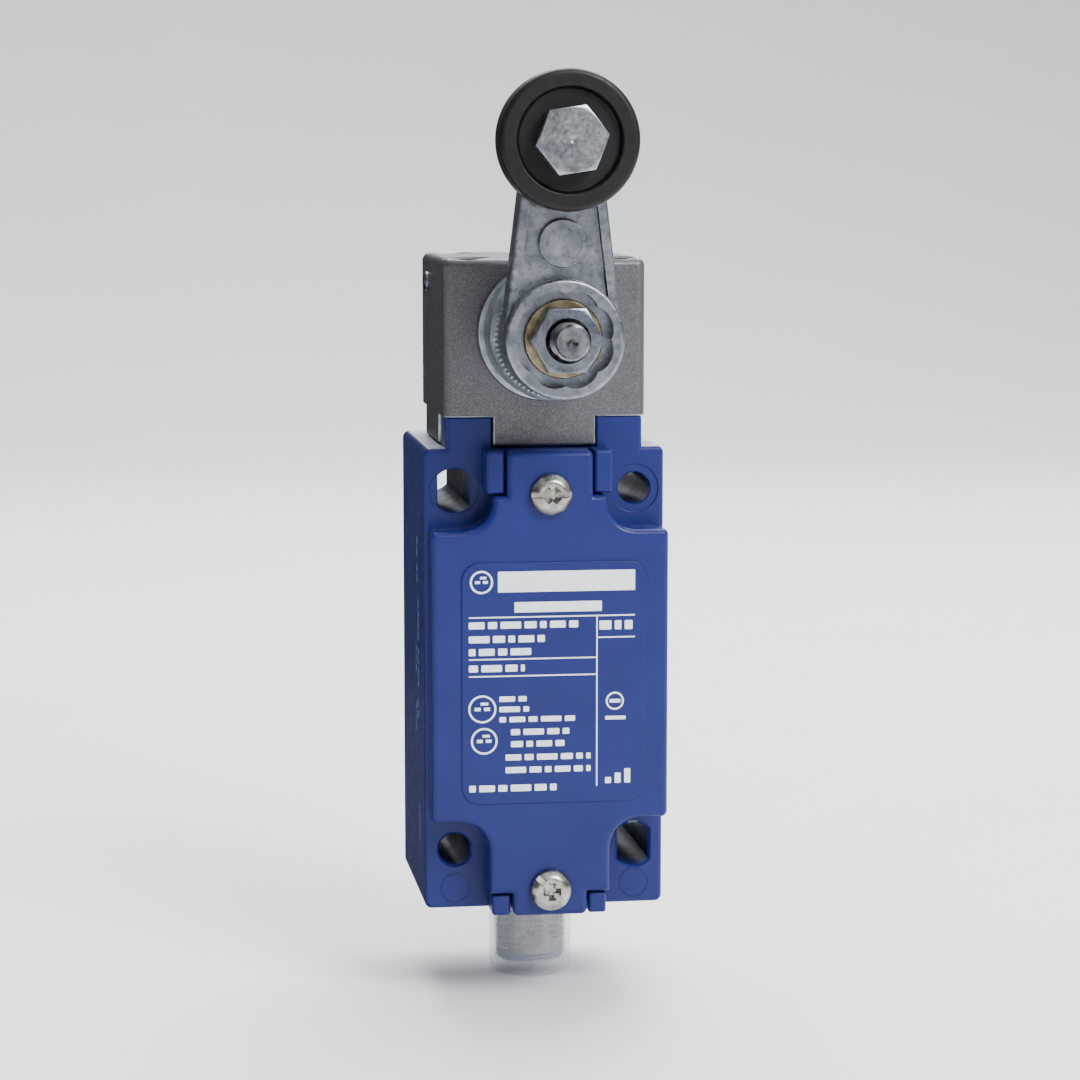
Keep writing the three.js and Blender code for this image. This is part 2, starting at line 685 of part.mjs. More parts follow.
function connector() {
  const insertR = CONNECTOR.insert / 2;
  const shellBore = insertR + FREE / 2;
  const neckR = shellBore + CONNECTOR.shellWall;
  const shellTop = CONNECTOR.spigotLength - 2;
  const threadR = CONNECTOR.thread / 2;
  const adapter = turnedZ(
    [
      [neckR + FREE, CONNECTOR.spigotLength],
      [neckR + FREE, -CONNECTOR.coneHeight],
      [CONNECTOR.neck / 2, -CONNECTOR.coneHeight],
      [CONNECTOR.cone / 2, -SEAT - 0.3],
      [CONNECTOR.cone / 2, -SEAT],
      [CONNECTOR.spigot / 2, -SEAT],
      [CONNECTOR.spigot / 2, CONNECTOR.spigotLength],
    ],
    SIDES.medium,
  );
  const shell = turnedZ(
    [
      [shellBore, shellTop],
      [shellBore, threadEnd],
      [threadR, threadEnd],
      [threadR, groove.low],
      [threadR - CONNECTOR.groove.depth, groove.low],
      [threadR - CONNECTOR.groove.depth, groove.high],
      [threadR, groove.high],
      [threadR, threadTop],
      [CONNECTOR.flange / 2, threadTop],
      [CONNECTOR.flange / 2, flangeTop],
      [neckR, flangeTop],
      [neckR, shellTop],
    ],
    SIDES.medium,
  );
  const ringInner = threadR - CONNECTOR.groove.depth + SEAT;
  const ringMid = (groove.high + groove.low) / 2;
  const ringHalf = (groove.high - groove.low) / 2 - SEAT;
  const oRing = turnedZ(
    [
      [ringInner, ringMid - ringHalf / 2],
      [ringInner + ringHalf / 2, ringMid - ringHalf],
      [threadR - ringHalf / 2, ringMid - ringHalf],
      [threadR, ringMid - ringHalf / 2],
      [threadR, ringMid + ringHalf / 2],
      [threadR - ringHalf / 2, ringMid + ringHalf],
      [ringInner + ringHalf / 2, ringMid + ringHalf],
      [ringInner, ringMid + ringHalf / 2],
    ],
    SIDES.medium,
  );
  const pinR = CONNECTOR.pin / 2;
  const insertLow = threadEnd + CONNECTOR.insertSunk;
  const pinLow = threadEnd + CONNECTOR.pinSunk;
  const pinPlace = (i) => {
    const a = Math.PI / 4 + (TURN * i) / 4;
    return [(CONNECTOR.pinCircle / 2) * Math.cos(a), (CONNECTOR.pinCircle / 2) * Math.sin(a)];
  };
  const pinHoles = [0, 1, 2, 3].map((i) => {
    const [x, y] = pinPlace(i);
    return ringZ(pinR + FREE / 2, 0, insertLow - 1, shellTop + 1, SIDES.tiny).translate(x, y, 0);
  });
  const insert = cut(ringZ(insertR, 0, insertLow, shellTop - 0.5, SIDES.small), pinHoles);
  const pins = pinHoles.map((_, i) => {
    const [x, y] = pinPlace(i);
    const shape = turnedZ(
      [
        [0, pinLow],
        [pinR * 0.5, pinLow],
        [pinR, pinLow + pinR],
        [pinR, shellTop + 1],
        [0, shellTop + 1],
      ],
      SIDES.tiny,
    );
    const mesh = piece(`connector_pin_${i + 1}`, shape, FINISH.brass());
    mesh.position.set(x, y, 0);
    return mesh;
  });
  return [
    piece("connector_adapter", adapter, FINISH.blackPlastic()),
    piece("connector_shell", shell, FINISH.nickel()),
    piece("connector_o_ring", oRing, FINISH.blueRubber()),
    piece("connector_insert", insert, FINISH.blackPlastic()),
    ...pins,
  ];
}

function protectiveCap() {
  const top = threadTop - FREE;
  const low = top - CAP.height;
  const bore = CONNECTOR.thread / 2 + CAP.space;
  const r = bore + CAP.wall;
  const corner = Array.from({ length: 6 }, (_, i) => {
    const a = (Math.PI / 2) * (i / 5);
    return [r - CAP.corner + CAP.corner * Math.sin(a), low + CAP.corner * (1 - Math.cos(a))];
  });
  const profile = [[0, low], ...corner, [r, top], [bore, top], [bore, low + CAP.bottom], [0, low + CAP.bottom]];
  return piece("protective_cap", turnedZ(profile, SIDES.medium), FINISH.translucent());
}

/** Insulated wires from the connector's pins to the terminals, round the wiring chamber's front. */
function wires() {
  const colours = [0x6b3f22, 0xe8e8e4, 0x2b4fa0, 0x1a1a1a];
  const startZ = housingBottom + CONNECTOR.spigotLength + 0.4;
  const clampY = blockFrontY - 2;
  const clampHalf = BLOCK.terminal / 2 + WIRE.radius + FREE;
  const sideX = (BLOCK.width / 2 + HOUSING.width / 2 - COVER.sideStep - HOUSING.chamberWall) / 2;
  const frontOfBlock = blockFrontY - WIRE.radius - 1;
  const routes = [-1, 1].flatMap((side) => [
    [
      [side * 1.6, -CONNECTOR.fromBack - 1.6, startZ],
      [side * 2.2, -CONNECTOR.fromBack - 2.6, startZ + 5],
      [side * 5, frontOfBlock + 3, blockBottom - 6],
      [side * BLOCK.terminalX, frontOfBlock, blockBottom - 2],
      [side * BLOCK.terminalX, clampY, terminalZs[0] - clampHalf],
    ],
    [
      [side * 1.6, -CONNECTOR.fromBack + 1.6, startZ],
      [side * 2.6, -CONNECTOR.fromBack + 1.2, startZ + 6],
      [side * 9, blockBackY - 12, blockBottom - 5.5],
      [side * sideX, blockBackY - 14, blockBottom + 2],
      [side * sideX, blockFrontY + 1, blockMiddle + 2],
      [side * (sideX - 0.6), clampY, terminalZs[1] - 3],
      [side * (BLOCK.terminalX + clampHalf), clampY, terminalZs[1]],
    ],
  ]);
  const section = new THREE.Shape(
    Array.from({ length: WIRE.sides }, (_, i) => {
      const a = (TURN * i) / WIRE.sides;
      return new THREE.Vector2(WIRE.radius * Math.cos(a), WIRE.radius * Math.sin(a));
    }),
  );
  return routes.map((points, i) => {
    const path = new THREE.CatmullRomCurve3(points.map((p) => new THREE.Vector3(...p)));
    const tube = new THREE.ExtrudeGeometry(section, { steps: WIRE.steps, extrudePath: path, bevelEnabled: false });
    return piece(`wire_${i + 1}`, tube, FINISH.wire(colours[i]));
  });
}

// ---------- head, its axis at x = y = 0 and its corner seats at z = 0 ----------

const headHalf = HEAD.size / 2;
const shaftBore = SHAFT.body / 2 + SHAFT.bushWall + FREE;
const postHalfPitch = POST.pitch / 2;
const counterboreFloor = HEAD.height - HEAD.counterboreDepth;
const discR = HEAD.rim / 2 - HEAD.rimWall;
const pinSeat = { y: SIDE_PIN.behindAxis, z: HEAD.height - SIDE_PIN.belowTop };

function headHousing() {
  const arm = HEAD.armWidth / 2;
  const onShaft = (shape) => shape.translate(0, 0, HEAD.shaftHeight);
  const casting = join([
    planPlate(rectangle(-headHalf, headHalf, -headHalf, headHalf, HEAD.edgeRadius), 0, HEAD.height),
    box(-headHalf, headHalf, -arm, arm, armBottom, 1),
    box(-arm, arm, -headHalf, headHalf, armBottom, 1),
    ringZ(HEAD.rim / 2, 0, rimBottom, 1, SIDES.large),
    onShaft(ringY(HEAD.bossStep.diameter / 2, 0, -headHalf - HEAD.bossStep.length, 0, SIDES.large)),
    onShaft(ringY(HEAD.collar.diameter / 2, 0, collarFront, 0, SIDES.large)),
  ]);
  const tools = [
    ringZ(chamberR, 0, armBottom, HEAD.height - HEAD.roof, SIDES.medium),
    ringZ(discR, 0, rimBottom - 1, discTop + SEAT, SIDES.large),
    onShaft(ringY(shaftBore, 0, collarFront - 1, 0, SIDES.medium)),
    onShaft(ringY(SHAFT.journal / 2 + FREE / 2, 0, 0, chamberR + SHAFT.rearBearing, SIDES.small)),
    ringZ(SIDE_PIN.diameter / 2 + FREE / 2, 0, -1, SIDE_PIN.depth + FREE, SIDES.tiny)
      .rotateY(Math.PI / 2)
      .translate(-headHalf, pinSeat.y, pinSeat.z),
    ...corners((sx, sy) =>
      ringZ(SCREW.thread / 2 + FREE, 0, -1, HEAD.height + 1, SIDES.small).translate(sx * postHalfPitch, sy * postHalfPitch, 0),
    ),
    ...corners((sx, sy) =>
      ringZ(HEAD.counterbore / 2, 0, counterboreFloor, HEAD.height + 1, SIDES.small).translate(sx * postHalfPitch, sy * postHalfPitch, 0),
    ),
  ];
  return piece("head_housing", cut(casting, tools), FINISH.greyPaint());
}

function headScrews() {
  const reach = counterboreFloor + POST.threadDepth - FREE;
  return corners((sx, sy, n) => {
    const screw = panScrew({ ...SCREW, reach, slotTurn: n * 0.7, crossed: true });
    const mesh = piece(`head_screw_${n}`, screw, FINISH.steel());
    mesh.rotation.x = -Math.PI / 2;
    mesh.position.set(sx * postHalfPitch, sy * postHalfPitch, counterboreFloor);
    return mesh;
  });
}

function retainingDisc() {
  const opening = SLEEVE.diameter / 2 + DISC.around;
  const notchHalf = SLEEVE.keyWidth / 2 + FREE;
  const low = discTop - DISC.thickness;
  const notch = box(0, keyReach + FREE, -notchHalf, notchHalf, low - 1, discTop + 1);
  const disc = cut(ringZ(discR - SEAT, opening, low, discTop, SIDES.large), aroundZ(notch, SLEEVE.keys));
  return piece("retaining_disc", disc, FINISH.greyPlastic());
}

function sidePin() {
  const r = SIDE_PIN.diameter / 2;
  const dome = SIDE_PIN.dome / 2;
  const shape = turnedZ(
    [
      [0, -SIDE_PIN.depth],
      [r, -SIDE_PIN.depth],
      [r, SEAT],
      [dome, SEAT],
      [dome, SIDE_PIN.height * 0.45],
      [dome * 0.65, SIDE_PIN.height * 0.85],
      [0, SIDE_PIN.height],
    ],
    SIDES.small,
  );
  const mesh = piece("side_pin", shape, FINISH.darkSteel());
  mesh.rotation.y = -Math.PI / 2;
  mesh.position.set(-headHalf, pinSeat.y, pinSeat.z);
  return mesh;
}

// The sleeve's flange runs just under the cam, and its stroke ends before the return spring is solid.
const flangeTopZ = HEAD.shaftHeight - CAM.radius - FREE;
const flangeLowZ = flangeTopZ - SLEEVE.flange;

function plungerSleeve() {
  const r = SLEEVE.diameter / 2;
  const low = -SLEEVE.reach;
  const body = turnedZ(
    [
      [0, low],
      [r - 1, low],
      [r - 0.4, low + 0.6],
      [r - 0.4, low + 1.4],
      [r, low + 1.8],
      [r, flangeLowZ],
      [chamberR - FREE, flangeLowZ],
      [chamberR - FREE, flangeTopZ],
      [0, flangeTopZ],
    ],
    SIDES.medium,
  );
  const half = SLEEVE.keyWidth / 2;
  const key = box(r - 1, keyReach, -half, half, discTop - DISC.thickness - SLEEVE.keyBelow, discTop + SLEEVE.stroke);
  const bore = ringZ(TIP.diameter / 2 + FREE, 0, low - 1, low + TIP.length + FREE, SIDES.small);
  return piece("plunger_sleeve", cut(join([body, ...aroundZ(key, SLEEVE.keys)]), [bore]), FINISH.blackPlastic());
}

function plungerTip() {
  const r = TIP.diameter / 2;
  const low = -SLEEVE.reach - TIP.stepOut;
  const shape = turnedZ([[0, low], [r - 0.9, low], [r - 0.2, low + 0.5], [r, low + 1.2], [r, low + TIP.length], [0, low + TIP.length]], SIDES.small);
  return piece("plunger_tip", shape, FINISH.whitePlastic());
}

function returnSpring() {
  const outer = chamberR - FREE + SEAT;
  const ring = ringZ(outer, outer - RETURN_WIRE, discTop + SEAT, flangeLowZ - SEAT, SIDES.medium);
  return piece("return_spring", ring, FINISH.steel());
}

// ---------- operating shaft, its axis along Y through z = 0 ----------

const bodyR = SHAFT.body / 2;
const noseR = SHAFT.nose / 2;
const shaftRearEnd = chamberR + SHAFT.rearBearing - FREE;
const bushRear = -chamberR - SEAT;
const sealFront = collarFront + SEAL.sunk;

function operatingShaft() {
  const studR = SHAFT.stud / 2;
  const bodyRear = Math.sqrt(chamberR ** 2 - bodyR ** 2) - FREE;
  const shape = turnedY(
    [
      [0, shaftRearEnd],
      [SHAFT.journal / 2, shaftRearEnd],
      [SHAFT.journal / 2, bodyRear],
      [bodyR, bodyRear],
      [bodyR, ringRear + SEAT],
      [noseR, ringRear + SEAT],
      [noseR, ringFront],
      [studR, ringFront],
      [studR, studTip + 0.8],
      [studR - 0.8, studTip],
      [0, studTip],
    ],
    SIDES.medium,
  );
  return piece("operating_shaft", shape, FINISH.darkSteel());
}

function cam() {
  const half = CAM.width / 2;
  const round = ringY(CAM.radius, 0, -half, half, SIDES.medium);
  const flat = box(-CAM.radius, CAM.radius, -half - 1, half + 1, -CAM.radius - 1, -CAM.flat);
  return piece("cam", cut(round, [flat, ringY(bodyR + FREE / 2, 0, -half - 1, half + 1, SIDES.medium)]), FINISH.steel());
}

function shaftBush() {
  const ring = ringY(shaftBore - FREE / 2, bodyR + FREE / 2, bushRear, sealFront + SEAL.length + SEAT, SIDES.medium);
  return piece("shaft_bush", ring, FINISH.brass());
}

function shaftSeal() {
  const ring = ringY(shaftBore - FREE / 2, bodyR + FREE / 2, sealFront + SEAL.length, sealFront, SIDES.medium);
  return piece("shaft_seal", ring, FINISH.rubber());
}

function indexingRing() {
  const webFront = ringRear - RING.web;
  const hubSpace = HUB.diameter / 2 + FREE / 2;
  const outer = RING.diameter / 2;
  const shape = turnedY(
    [
      [noseR + FREE / 2, ringRear],
      [outer, ringRear],
      [outer, ringFront],
      [hubSpace, ringFront],
      [hubSpace, webFront],
      [noseR + FREE / 2, webFront],
    ],
    SIDES.large,
  );
  return piece("indexing_ring", shape, FINISH.zinc());
}

function castellatedHub() {
  const rear = ringRear - RING.web - SEAT;
  const front = ringFront - HUB.castleHeight;
  const r = HUB.diameter / 2;
  const half = HUB.castleGap / 2;
  const slot = box(0, r + 1, front - 1, ringFront, -half, half);
  const hub = cut(ringY(r, noseR + FREE / 2, rear, front, SIDES.medium), aroundY(slot, HUB.castles));
  return piece("castellated_hub", hub, FINISH.zinc());
}

// ---------- lever, its boss on the shaft's axis and its roller LEVER.length above ----------

const armMiddle = (leverRear + leverFront) / 2;
const armRear = armMiddle + LEVER.arm / 2;
const armFront = armMiddle - LEVER.arm / 2;
const recessFloorFront = leverFront + LEVER.recessDepth;
const washerFront = recessFloorFront - SEAT - NUT.washerThickness;
const nutFront = washerFront - SEAT - NUT.height;

/** Outline of two circles and their outer tangents: radius r0 at the origin and r1 at a height above it. */
function taperedOutline(r0, r1, height) {
  const lean = Math.asin((r0 - r1) / height);
  const outline = new THREE.Shape();
  outline.absarc(0, height, r1, lean, Math.PI - lean, false);
  outline.absarc(0, 0, r0, Math.PI - lean, TURN + lean, false);
  return new THREE.Shape(outline.getPoints(10).slice(0, -1));
}

/** The boss's recess: a circle waved by lobes. */
function lobedOutline() {
  const steps = LEVER.lobes * 6;
  const points = Array.from({ length: steps }, (_, i) => {
    const a = (TURN * i) / steps;
    const r = LEVER.recess / 2 + LEVER.lobe * Math.cos(LEVER.lobes * a);
    return new THREE.Vector2(r * Math.cos(a), r * Math.sin(a));
  });
  return new THREE.Shape(points);
}

function leverArm() {
  const bossR = LEVER.boss / 2;
  const tipR = LEVER.tip / 2;
  const blank = join([
    frontPlate(taperedOutline(bossR, tipR, LEVER.length), armRear, armFront),
    ringY(bossR, 0, leverRear, leverFront, SIDES.large),
  ]);
  const kept = [
    ringY(bossR, 0, leverRear + 1, leverFront - 1, SIDES.large),
    ringY(LEVER.button / 2, 0, leverRear + 1, leverFront - 1, SIDES.small).translate(0, 0, LEVER.buttonAt),
    ringY(tipR - LEVER.rim / 2, 0, leverRear + 1, leverFront - 1, SIDES.small).translate(0, 0, LEVER.length),
  ];
  const sunk = taperedOutline(bossR - LEVER.rim, tipR - LEVER.rim, LEVER.length);
  const tools = [
    cut(frontPlate(sunk, armRear + 1, armRear - LEVER.pocket), kept),
    cut(frontPlate(sunk, armFront + LEVER.pocket, armFront - 1), kept),
    frontPlate(lobedOutline(), leverRear + 1, leverRear - LEVER.recessDepth),
    frontPlate(lobedOutline(), recessFloorFront, leverFront - 1),
    ringY(SHAFT.stud / 2 + FREE, 0, leverRear + 1, leverFront - 1, SIDES.small),
    ringY(BOLT.shank / 2 + FREE / 2, 0, leverRear + 1, leverFront - 1, SIDES.small).translate(0, 0, LEVER.length),
  ];
  return piece("lever_arm", cut(blank, tools), FINISH.zinc());
}

function leverFasteners() {
  const bore = SHAFT.stud / 2 + FREE / 2;
  const washer = ringY(NUT.washer / 2, bore, recessFloorFront - SEAT, washerFront, SIDES.medium);
  const nut = cut(frontPlate(hexagon(NUT.acrossFlats), washerFront - SEAT, nutFront), [
    ringY(bore, 0, nutFront - 1, washerFront + 1, SIDES.small),
  ]);
  return [piece("lever_washer", washer, FINISH.brass()), piece("lever_nut", nut, FINISH.steel())];
}

const rollerWasherFront = armFront - SEAT - ROLLER.washerThickness;
const rollerRear = rollerWasherFront - 2 * SEAT;
const rollerFront = rollerRear - ROLLER.width;
const dishFloor = rollerFront + ROLLER.dishDepth;
const boltSeat = dishFloor - 2 * SEAT;

function rollerBolt() {
  const head = frontPlate(hexagon(BOLT.acrossFlats, 0.15), boltSeat, boltSeat - BOLT.head);
  const shank = ringY(BOLT.shank / 2, 0, boltSeat - 1, armRear, SIDES.small);
  return piece("roller_bolt", join([head, shank]), FINISH.steel());
}

function rollerWasher() {
  const ring = ringY(ROLLER.washer / 2, BOLT.shank / 2 + FREE / 2, armFront - SEAT, rollerWasherFront, SIDES.medium);
  return piece("roller_washer", ring, FINISH.nylon());
}

function roller() {
  const r = ROLLER.diameter / 2;
  const { round } = ROLLER;
  const bore = ROLLER.bush / 2 + FREE / 2;
  const shape = turnedY(
    [
      [bore, rollerRear],
      [r - round, rollerRear],
      [r, rollerRear - round],
      [r, rollerFront + round],
      [r - round, rollerFront],
      [ROLLER.dish / 2, rollerFront],
      [ROLLER.dish / 2 - 0.4, dishFloor],
      [bore, dishFloor],
    ],
    SIDES.large,
  );
  return piece("roller", shape, FINISH.blackPlastic());
}

function rollerBush() {
  return piece("roller_bush", ringY(ROLLER.bush / 2, ROLLER.bore / 2, rollerRear, dishFloor, SIDES.medium), FINISH.brass());
}

// ---------- assembly ----------

const limitSwitch = group(
  [0, 0, 0],
  housing(),
  coverGasket(),
  cover(),
  ...coverScrews(),
  headGasket(),
  ...contactBlock(),
  ...terminals(),
  earthScrew(),
  contactPlunger(),
  contactBridge(),
  contactSpring(),
  ...wires(),
  group([0, -CONNECTOR.fromBack, housingBottom], ...connector(), protectiveCap()),
  group(
    [0, headY, seatZ],
    headHousing(),
    ...headScrews(),
    retainingDisc(),
    sidePin(),
    plungerSleeve(),
    plungerTip(),
    returnSpring(),
    group(
      [0, 0, HEAD.shaftHeight],
      shaftBush(),
      shaftSeal(),
      operatingShaft(),
      cam(),
      indexingRing(),
      castellatedHub(),
      leverArm(),
      ...leverFasteners(),
      group([0, 0, LEVER.length], rollerBolt(), rollerWasher(), roller(), rollerBush()),
    ),
  ),
);

export default limitSwitch;
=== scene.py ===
"""Looks of an industrial limit switch: a blue die-cast body, and a grey head with a roller lever.

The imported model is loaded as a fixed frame. Each sub-assembly is a class that holds its sizes in
millimetres, builds finer meshes in the places of the model's nodes, and dresses them.
"""

import sys

import logging
import math
from dataclasses import dataclass, field
from enum import Enum
from typing import Iterable, Optional

import bmesh
import bpy
from mathutils import Matrix, Vector


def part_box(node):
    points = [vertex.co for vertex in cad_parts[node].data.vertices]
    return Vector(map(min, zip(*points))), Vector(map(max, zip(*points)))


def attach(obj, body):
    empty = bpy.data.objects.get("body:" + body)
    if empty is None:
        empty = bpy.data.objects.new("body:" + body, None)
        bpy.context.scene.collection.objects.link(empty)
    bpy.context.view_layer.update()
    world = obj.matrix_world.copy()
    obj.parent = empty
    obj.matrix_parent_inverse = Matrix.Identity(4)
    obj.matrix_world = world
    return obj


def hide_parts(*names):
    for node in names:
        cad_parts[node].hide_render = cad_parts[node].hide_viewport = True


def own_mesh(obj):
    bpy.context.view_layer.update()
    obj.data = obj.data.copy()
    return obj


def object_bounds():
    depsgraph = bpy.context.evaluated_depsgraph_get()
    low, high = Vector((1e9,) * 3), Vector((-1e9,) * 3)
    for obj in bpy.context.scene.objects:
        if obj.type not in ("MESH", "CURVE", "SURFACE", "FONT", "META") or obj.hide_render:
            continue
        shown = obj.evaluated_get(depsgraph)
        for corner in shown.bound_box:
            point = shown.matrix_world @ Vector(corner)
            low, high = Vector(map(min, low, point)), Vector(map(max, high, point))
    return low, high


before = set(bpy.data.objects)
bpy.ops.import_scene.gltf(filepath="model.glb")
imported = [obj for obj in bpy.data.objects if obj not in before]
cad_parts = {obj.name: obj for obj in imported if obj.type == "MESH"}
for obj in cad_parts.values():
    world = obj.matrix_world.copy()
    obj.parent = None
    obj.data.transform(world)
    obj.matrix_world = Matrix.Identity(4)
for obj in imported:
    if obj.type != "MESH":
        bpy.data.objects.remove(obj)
CAD_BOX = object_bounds()

log = logging.getLogger("limit_switch")

MM = 0.001
TURN = 2 * math.pi
ARC_STEP = math.radians(9)
EDGE_STEPS = 4
SHARP_ANGLE = math.radians(32)
MERGE = 0.0008
ORIGIN = (0.0, 0.0, 0.0)

Outline = list[tuple[float, float]]
Corner = tuple[float, float, float]
Point = tuple[float, float, float]
Colour = tuple[float, float, float, float]


class Axis(Enum):
    """The axis that a shape is turned about or drawn out along."""

    X = "x"
    Y = "y"
    Z = "z"


class Cut(Enum):
    """What a boolean step does with its tools."""

    JOIN = "UNION"
    REMOVE = "DIFFERENCE"
    KEEP = "INTERSECT"


# ---------- colours and shader nodes ----------


def srgb(code: str) -> Colour:
    """Turns an sRGB hex colour into linear light.

    Args:
        code: six hex digits, with or without a leading hash.

    Returns:
        Linear red, green, blue and an alpha of one.
    """
    digits = code.lstrip("#")
    parts = [int(digits[i : i + 2], 16) / 255 for i in (0, 2, 4)]
    linear = [c / 12.92 if c <= 0.04045 else ((c + 0.055) / 1.055) ** 2.4 for c in parts]
    return (linear[0], linear[1], linear[2], 1.0)


def add(tree: bpy.types.NodeTree, kind: str, inputs: Optional[dict] = None, **settings) -> bpy.types.Node:
    """Adds a node, sets its properties, and fills or links its inputs.

    Args:
        tree: the tree that gets the node.
        kind: the node's type.
        inputs: input name or number to a value, or to a socket to link from.
        settings: properties of the node.

    Returns:
        The new node.
    """
    node = tree.nodes.new(kind)
    for name, value in settings.items():
        setattr(node, name, value)
    for key, value in (inputs or {}).items():
        if isinstance(value, bpy.types.NodeSocket):
            tree.links.new(value, node.inputs[key])
        else:
            node.inputs[key].default_value = value
    return node


@dataclass
class Surface:
    """A material under construction: its tree, its shader and its Object coordinates."""

    name: str
    material: bpy.types.Material = field(init=False)

    def __post_init__(self) -> None:
        """Makes the material with a Principled shader that Object coordinates feed."""
        self.material = bpy.data.materials.new(self.name)
        self.material.use_nodes = True
        self.tree = self.material.node_tree
        self.tree.nodes.clear()
        self.shader = add(self.tree, "ShaderNodeBsdfPrincipled")
        add(self.tree, "ShaderNodeOutputMaterial", {"Surface": self.shader.outputs[0]})
        self.coords = add(self.tree, "ShaderNodeTexCoord").outputs["Object"]

    def set(self, **values) -> None:
        """Sets uniform values on the shader's own sockets, with underscores for spaces."""
        for name, value in values.items():
            self.shader.inputs[name.replace("_", " ")].default_value = value

    def noise(
        self, size_mm: float, detail: float = 2.0, stretch: tuple = (1, 1, 1)
    ) -> bpy.types.NodeSocket:
        """Noise with features of a given size.

        Args:
            size_mm: the size of one feature.
            detail: finer octaves added to it.
            stretch: how much longer the features are along X, Y and Z.

        Returns:
            The noise's value socket.
        """
        scale = tuple(1 / s for s in stretch)
        mapped = add(self.tree, "ShaderNodeMapping", {"Vector": self.coords, "Scale": scale})
        node = add(
            self.tree, "ShaderNodeTexNoise",
            {"Vector": mapped.outputs[0], "Scale": 1 / (size_mm * MM), "Detail": detail, "Roughness": 0.55}
        )
        return node.outputs["Fac"]

    def ramp(self, value: bpy.types.NodeSocket, low: float, high: float, to_low: float, to_high: float):
        """Maps a value smoothly from one range to another, and returns the result's socket."""
        inputs = {"Value": value, "From Min": low, "From Max": high, "To Min": to_low, "To Max": to_high}
        return add(self.tree, "ShaderNodeMapRange", inputs).outputs[0]

    def blend(self, factor: bpy.types.NodeSocket, first: str, second: str) -> bpy.types.NodeSocket:
        """Mixes two hex colours by a factor, and returns the colour's socket."""
        inputs = {"Factor": factor, 6: srgb(first), 7: srgb(second)}
        return add(self.tree, "ShaderNodeMix", inputs, data_type="RGBA").outputs[2]

    def link(self, name: str, socket: bpy.types.NodeSocket) -> None:
        """Links a socket to an input of the shader."""
        self.tree.links.new(socket, self.shader.inputs[name])

    def bump(self, height: bpy.types.NodeSocket, depth_mm: float, strength: float = 1.0, under=None):
        """Roughens the surface by a height.

        Args:
            height: the height's socket.
            depth_mm: what a height of one stands for.
            strength: how much of it shows.
            under: the normal of a bump beneath this one.

        Returns:
            The normal's socket, which is linked to the shader as well.
        """
        inputs = {"Height": height, "Distance": depth_mm * MM, "Strength": strength}
        if under is not None:
            inputs["Normal"] = under
        normal = add(self.tree, "ShaderNodeBump", inputs).outputs[0]
        self.link("Normal", normal)
        return normal


# ---------- finishes ----------


@dataclass(frozen=True)
class Enamel:
    """Stoved enamel on a zinc casting: a smooth, glossy skin with a faint orange peel."""

    name: str
    slot: str
    colour: str
    deep: str
    roughness: float = 0.34

    def make(self) -> bpy.types.Material:
        """Builds the material."""
        s = Surface(self.name)
        drift = s.ramp(s.noise(9.0, 3.0), 0.35, 0.65, 0.0, 1.0)
        s.link("Base Color", s.blend(drift, self.colour, self.deep))
        s.link(
            "Roughness", s.ramp(s.noise(2.2, 2.0), 0.3, 0.7, self.roughness - 0.05, self.roughness + 0.06)
        )
        s.set(IOR=1.4, Specular_IOR_Level=0.3, Coat_Weight=0.05, Coat_Roughness=0.1)
        peel = s.bump(s.noise(1.1, 1.0), 0.03, 0.3)  # orange peel about 1 mm across
        s.bump(s.noise(0.28, 1.0), 0.006, 0.15, peel)
        return s.material


@dataclass(frozen=True)
class FleckedEnamel:
    """Grey enamel with aluminium flecks, sprayed thin on a casting: a fine sparkle and a soft sheen."""

    name: str
    slot: str
    colour: str
    light: str

    def make(self) -> bpy.types.Material:
        """Builds the material."""
        s = Surface(self.name)
        flecks = s.ramp(s.noise(0.16, 1.0), 0.42, 0.7, 0.0, 1.0)  # flecks, drawn coarser than the real ones
        s.link("Base Color", s.blend(flecks, self.colour, self.light))
        s.link("Roughness", s.ramp(s.noise(1.5), 0.3, 0.7, 0.36, 0.48))
        s.set(Metallic=0.75)
        grain = s.bump(s.noise(0.35, 2.0), 0.03, 0.5)
        s.bump(s.noise(3.5, 1.0), 0.08, 0.25, grain)
        return s.material


@dataclass(frozen=True)
class DieCast:
    """Bare zinc as it leaves the die: cool grey with cloudy flow marks and a fine satin grain."""

    name: str
    slot: str
    light: str
    dark: str
    roughness: float = 0.38

    def make(self) -> bpy.types.Material:
        """Builds the material."""
        s = Surface(self.name)
        clouds = s.ramp(s.noise(2.6, 6.0), 0.36, 0.64, 0.0, 1.0)
        s.link("Base Color", s.blend(clouds, self.dark, self.light))
        s.link(
            "Roughness", s.ramp(s.noise(0.9, 4.0), 0.3, 0.7, self.roughness - 0.09, self.roughness + 0.14)
        )
        s.set(Metallic=1.0)
        waves = s.bump(s.noise(2.0, 3.0), 0.09, 0.35)
        s.bump(s.noise(0.25, 3.0), 0.022, 0.6, waves)
        return s.material


@dataclass(frozen=True)
class TurnedMetal:
    """Steel, brass or plated metal cut on a lathe: fine rings round its axis and a bright, soft gloss."""

    name: str
    slot: str
    light: str
    dark: str
    roughness: float = 0.25
    grain: float = 0.012

    def make(self) -> bpy.types.Material:
        """Builds the material."""
        s = Surface(self.name)
        stain = s.ramp(s.noise(1.6, 5.0), 0.36, 0.64, 0.0, 1.0)
        s.link("Base Color", s.blend(stain, self.dark, self.light))
        s.link(
            "Roughness", s.ramp(s.noise(0.7, 3.0), 0.3, 0.7, self.roughness - 0.06, self.roughness + 0.12)
        )
        s.set(Metallic=1.0)
        s.bump(s.noise(0.18, 2.0), self.grain, 0.55)
        return s.material


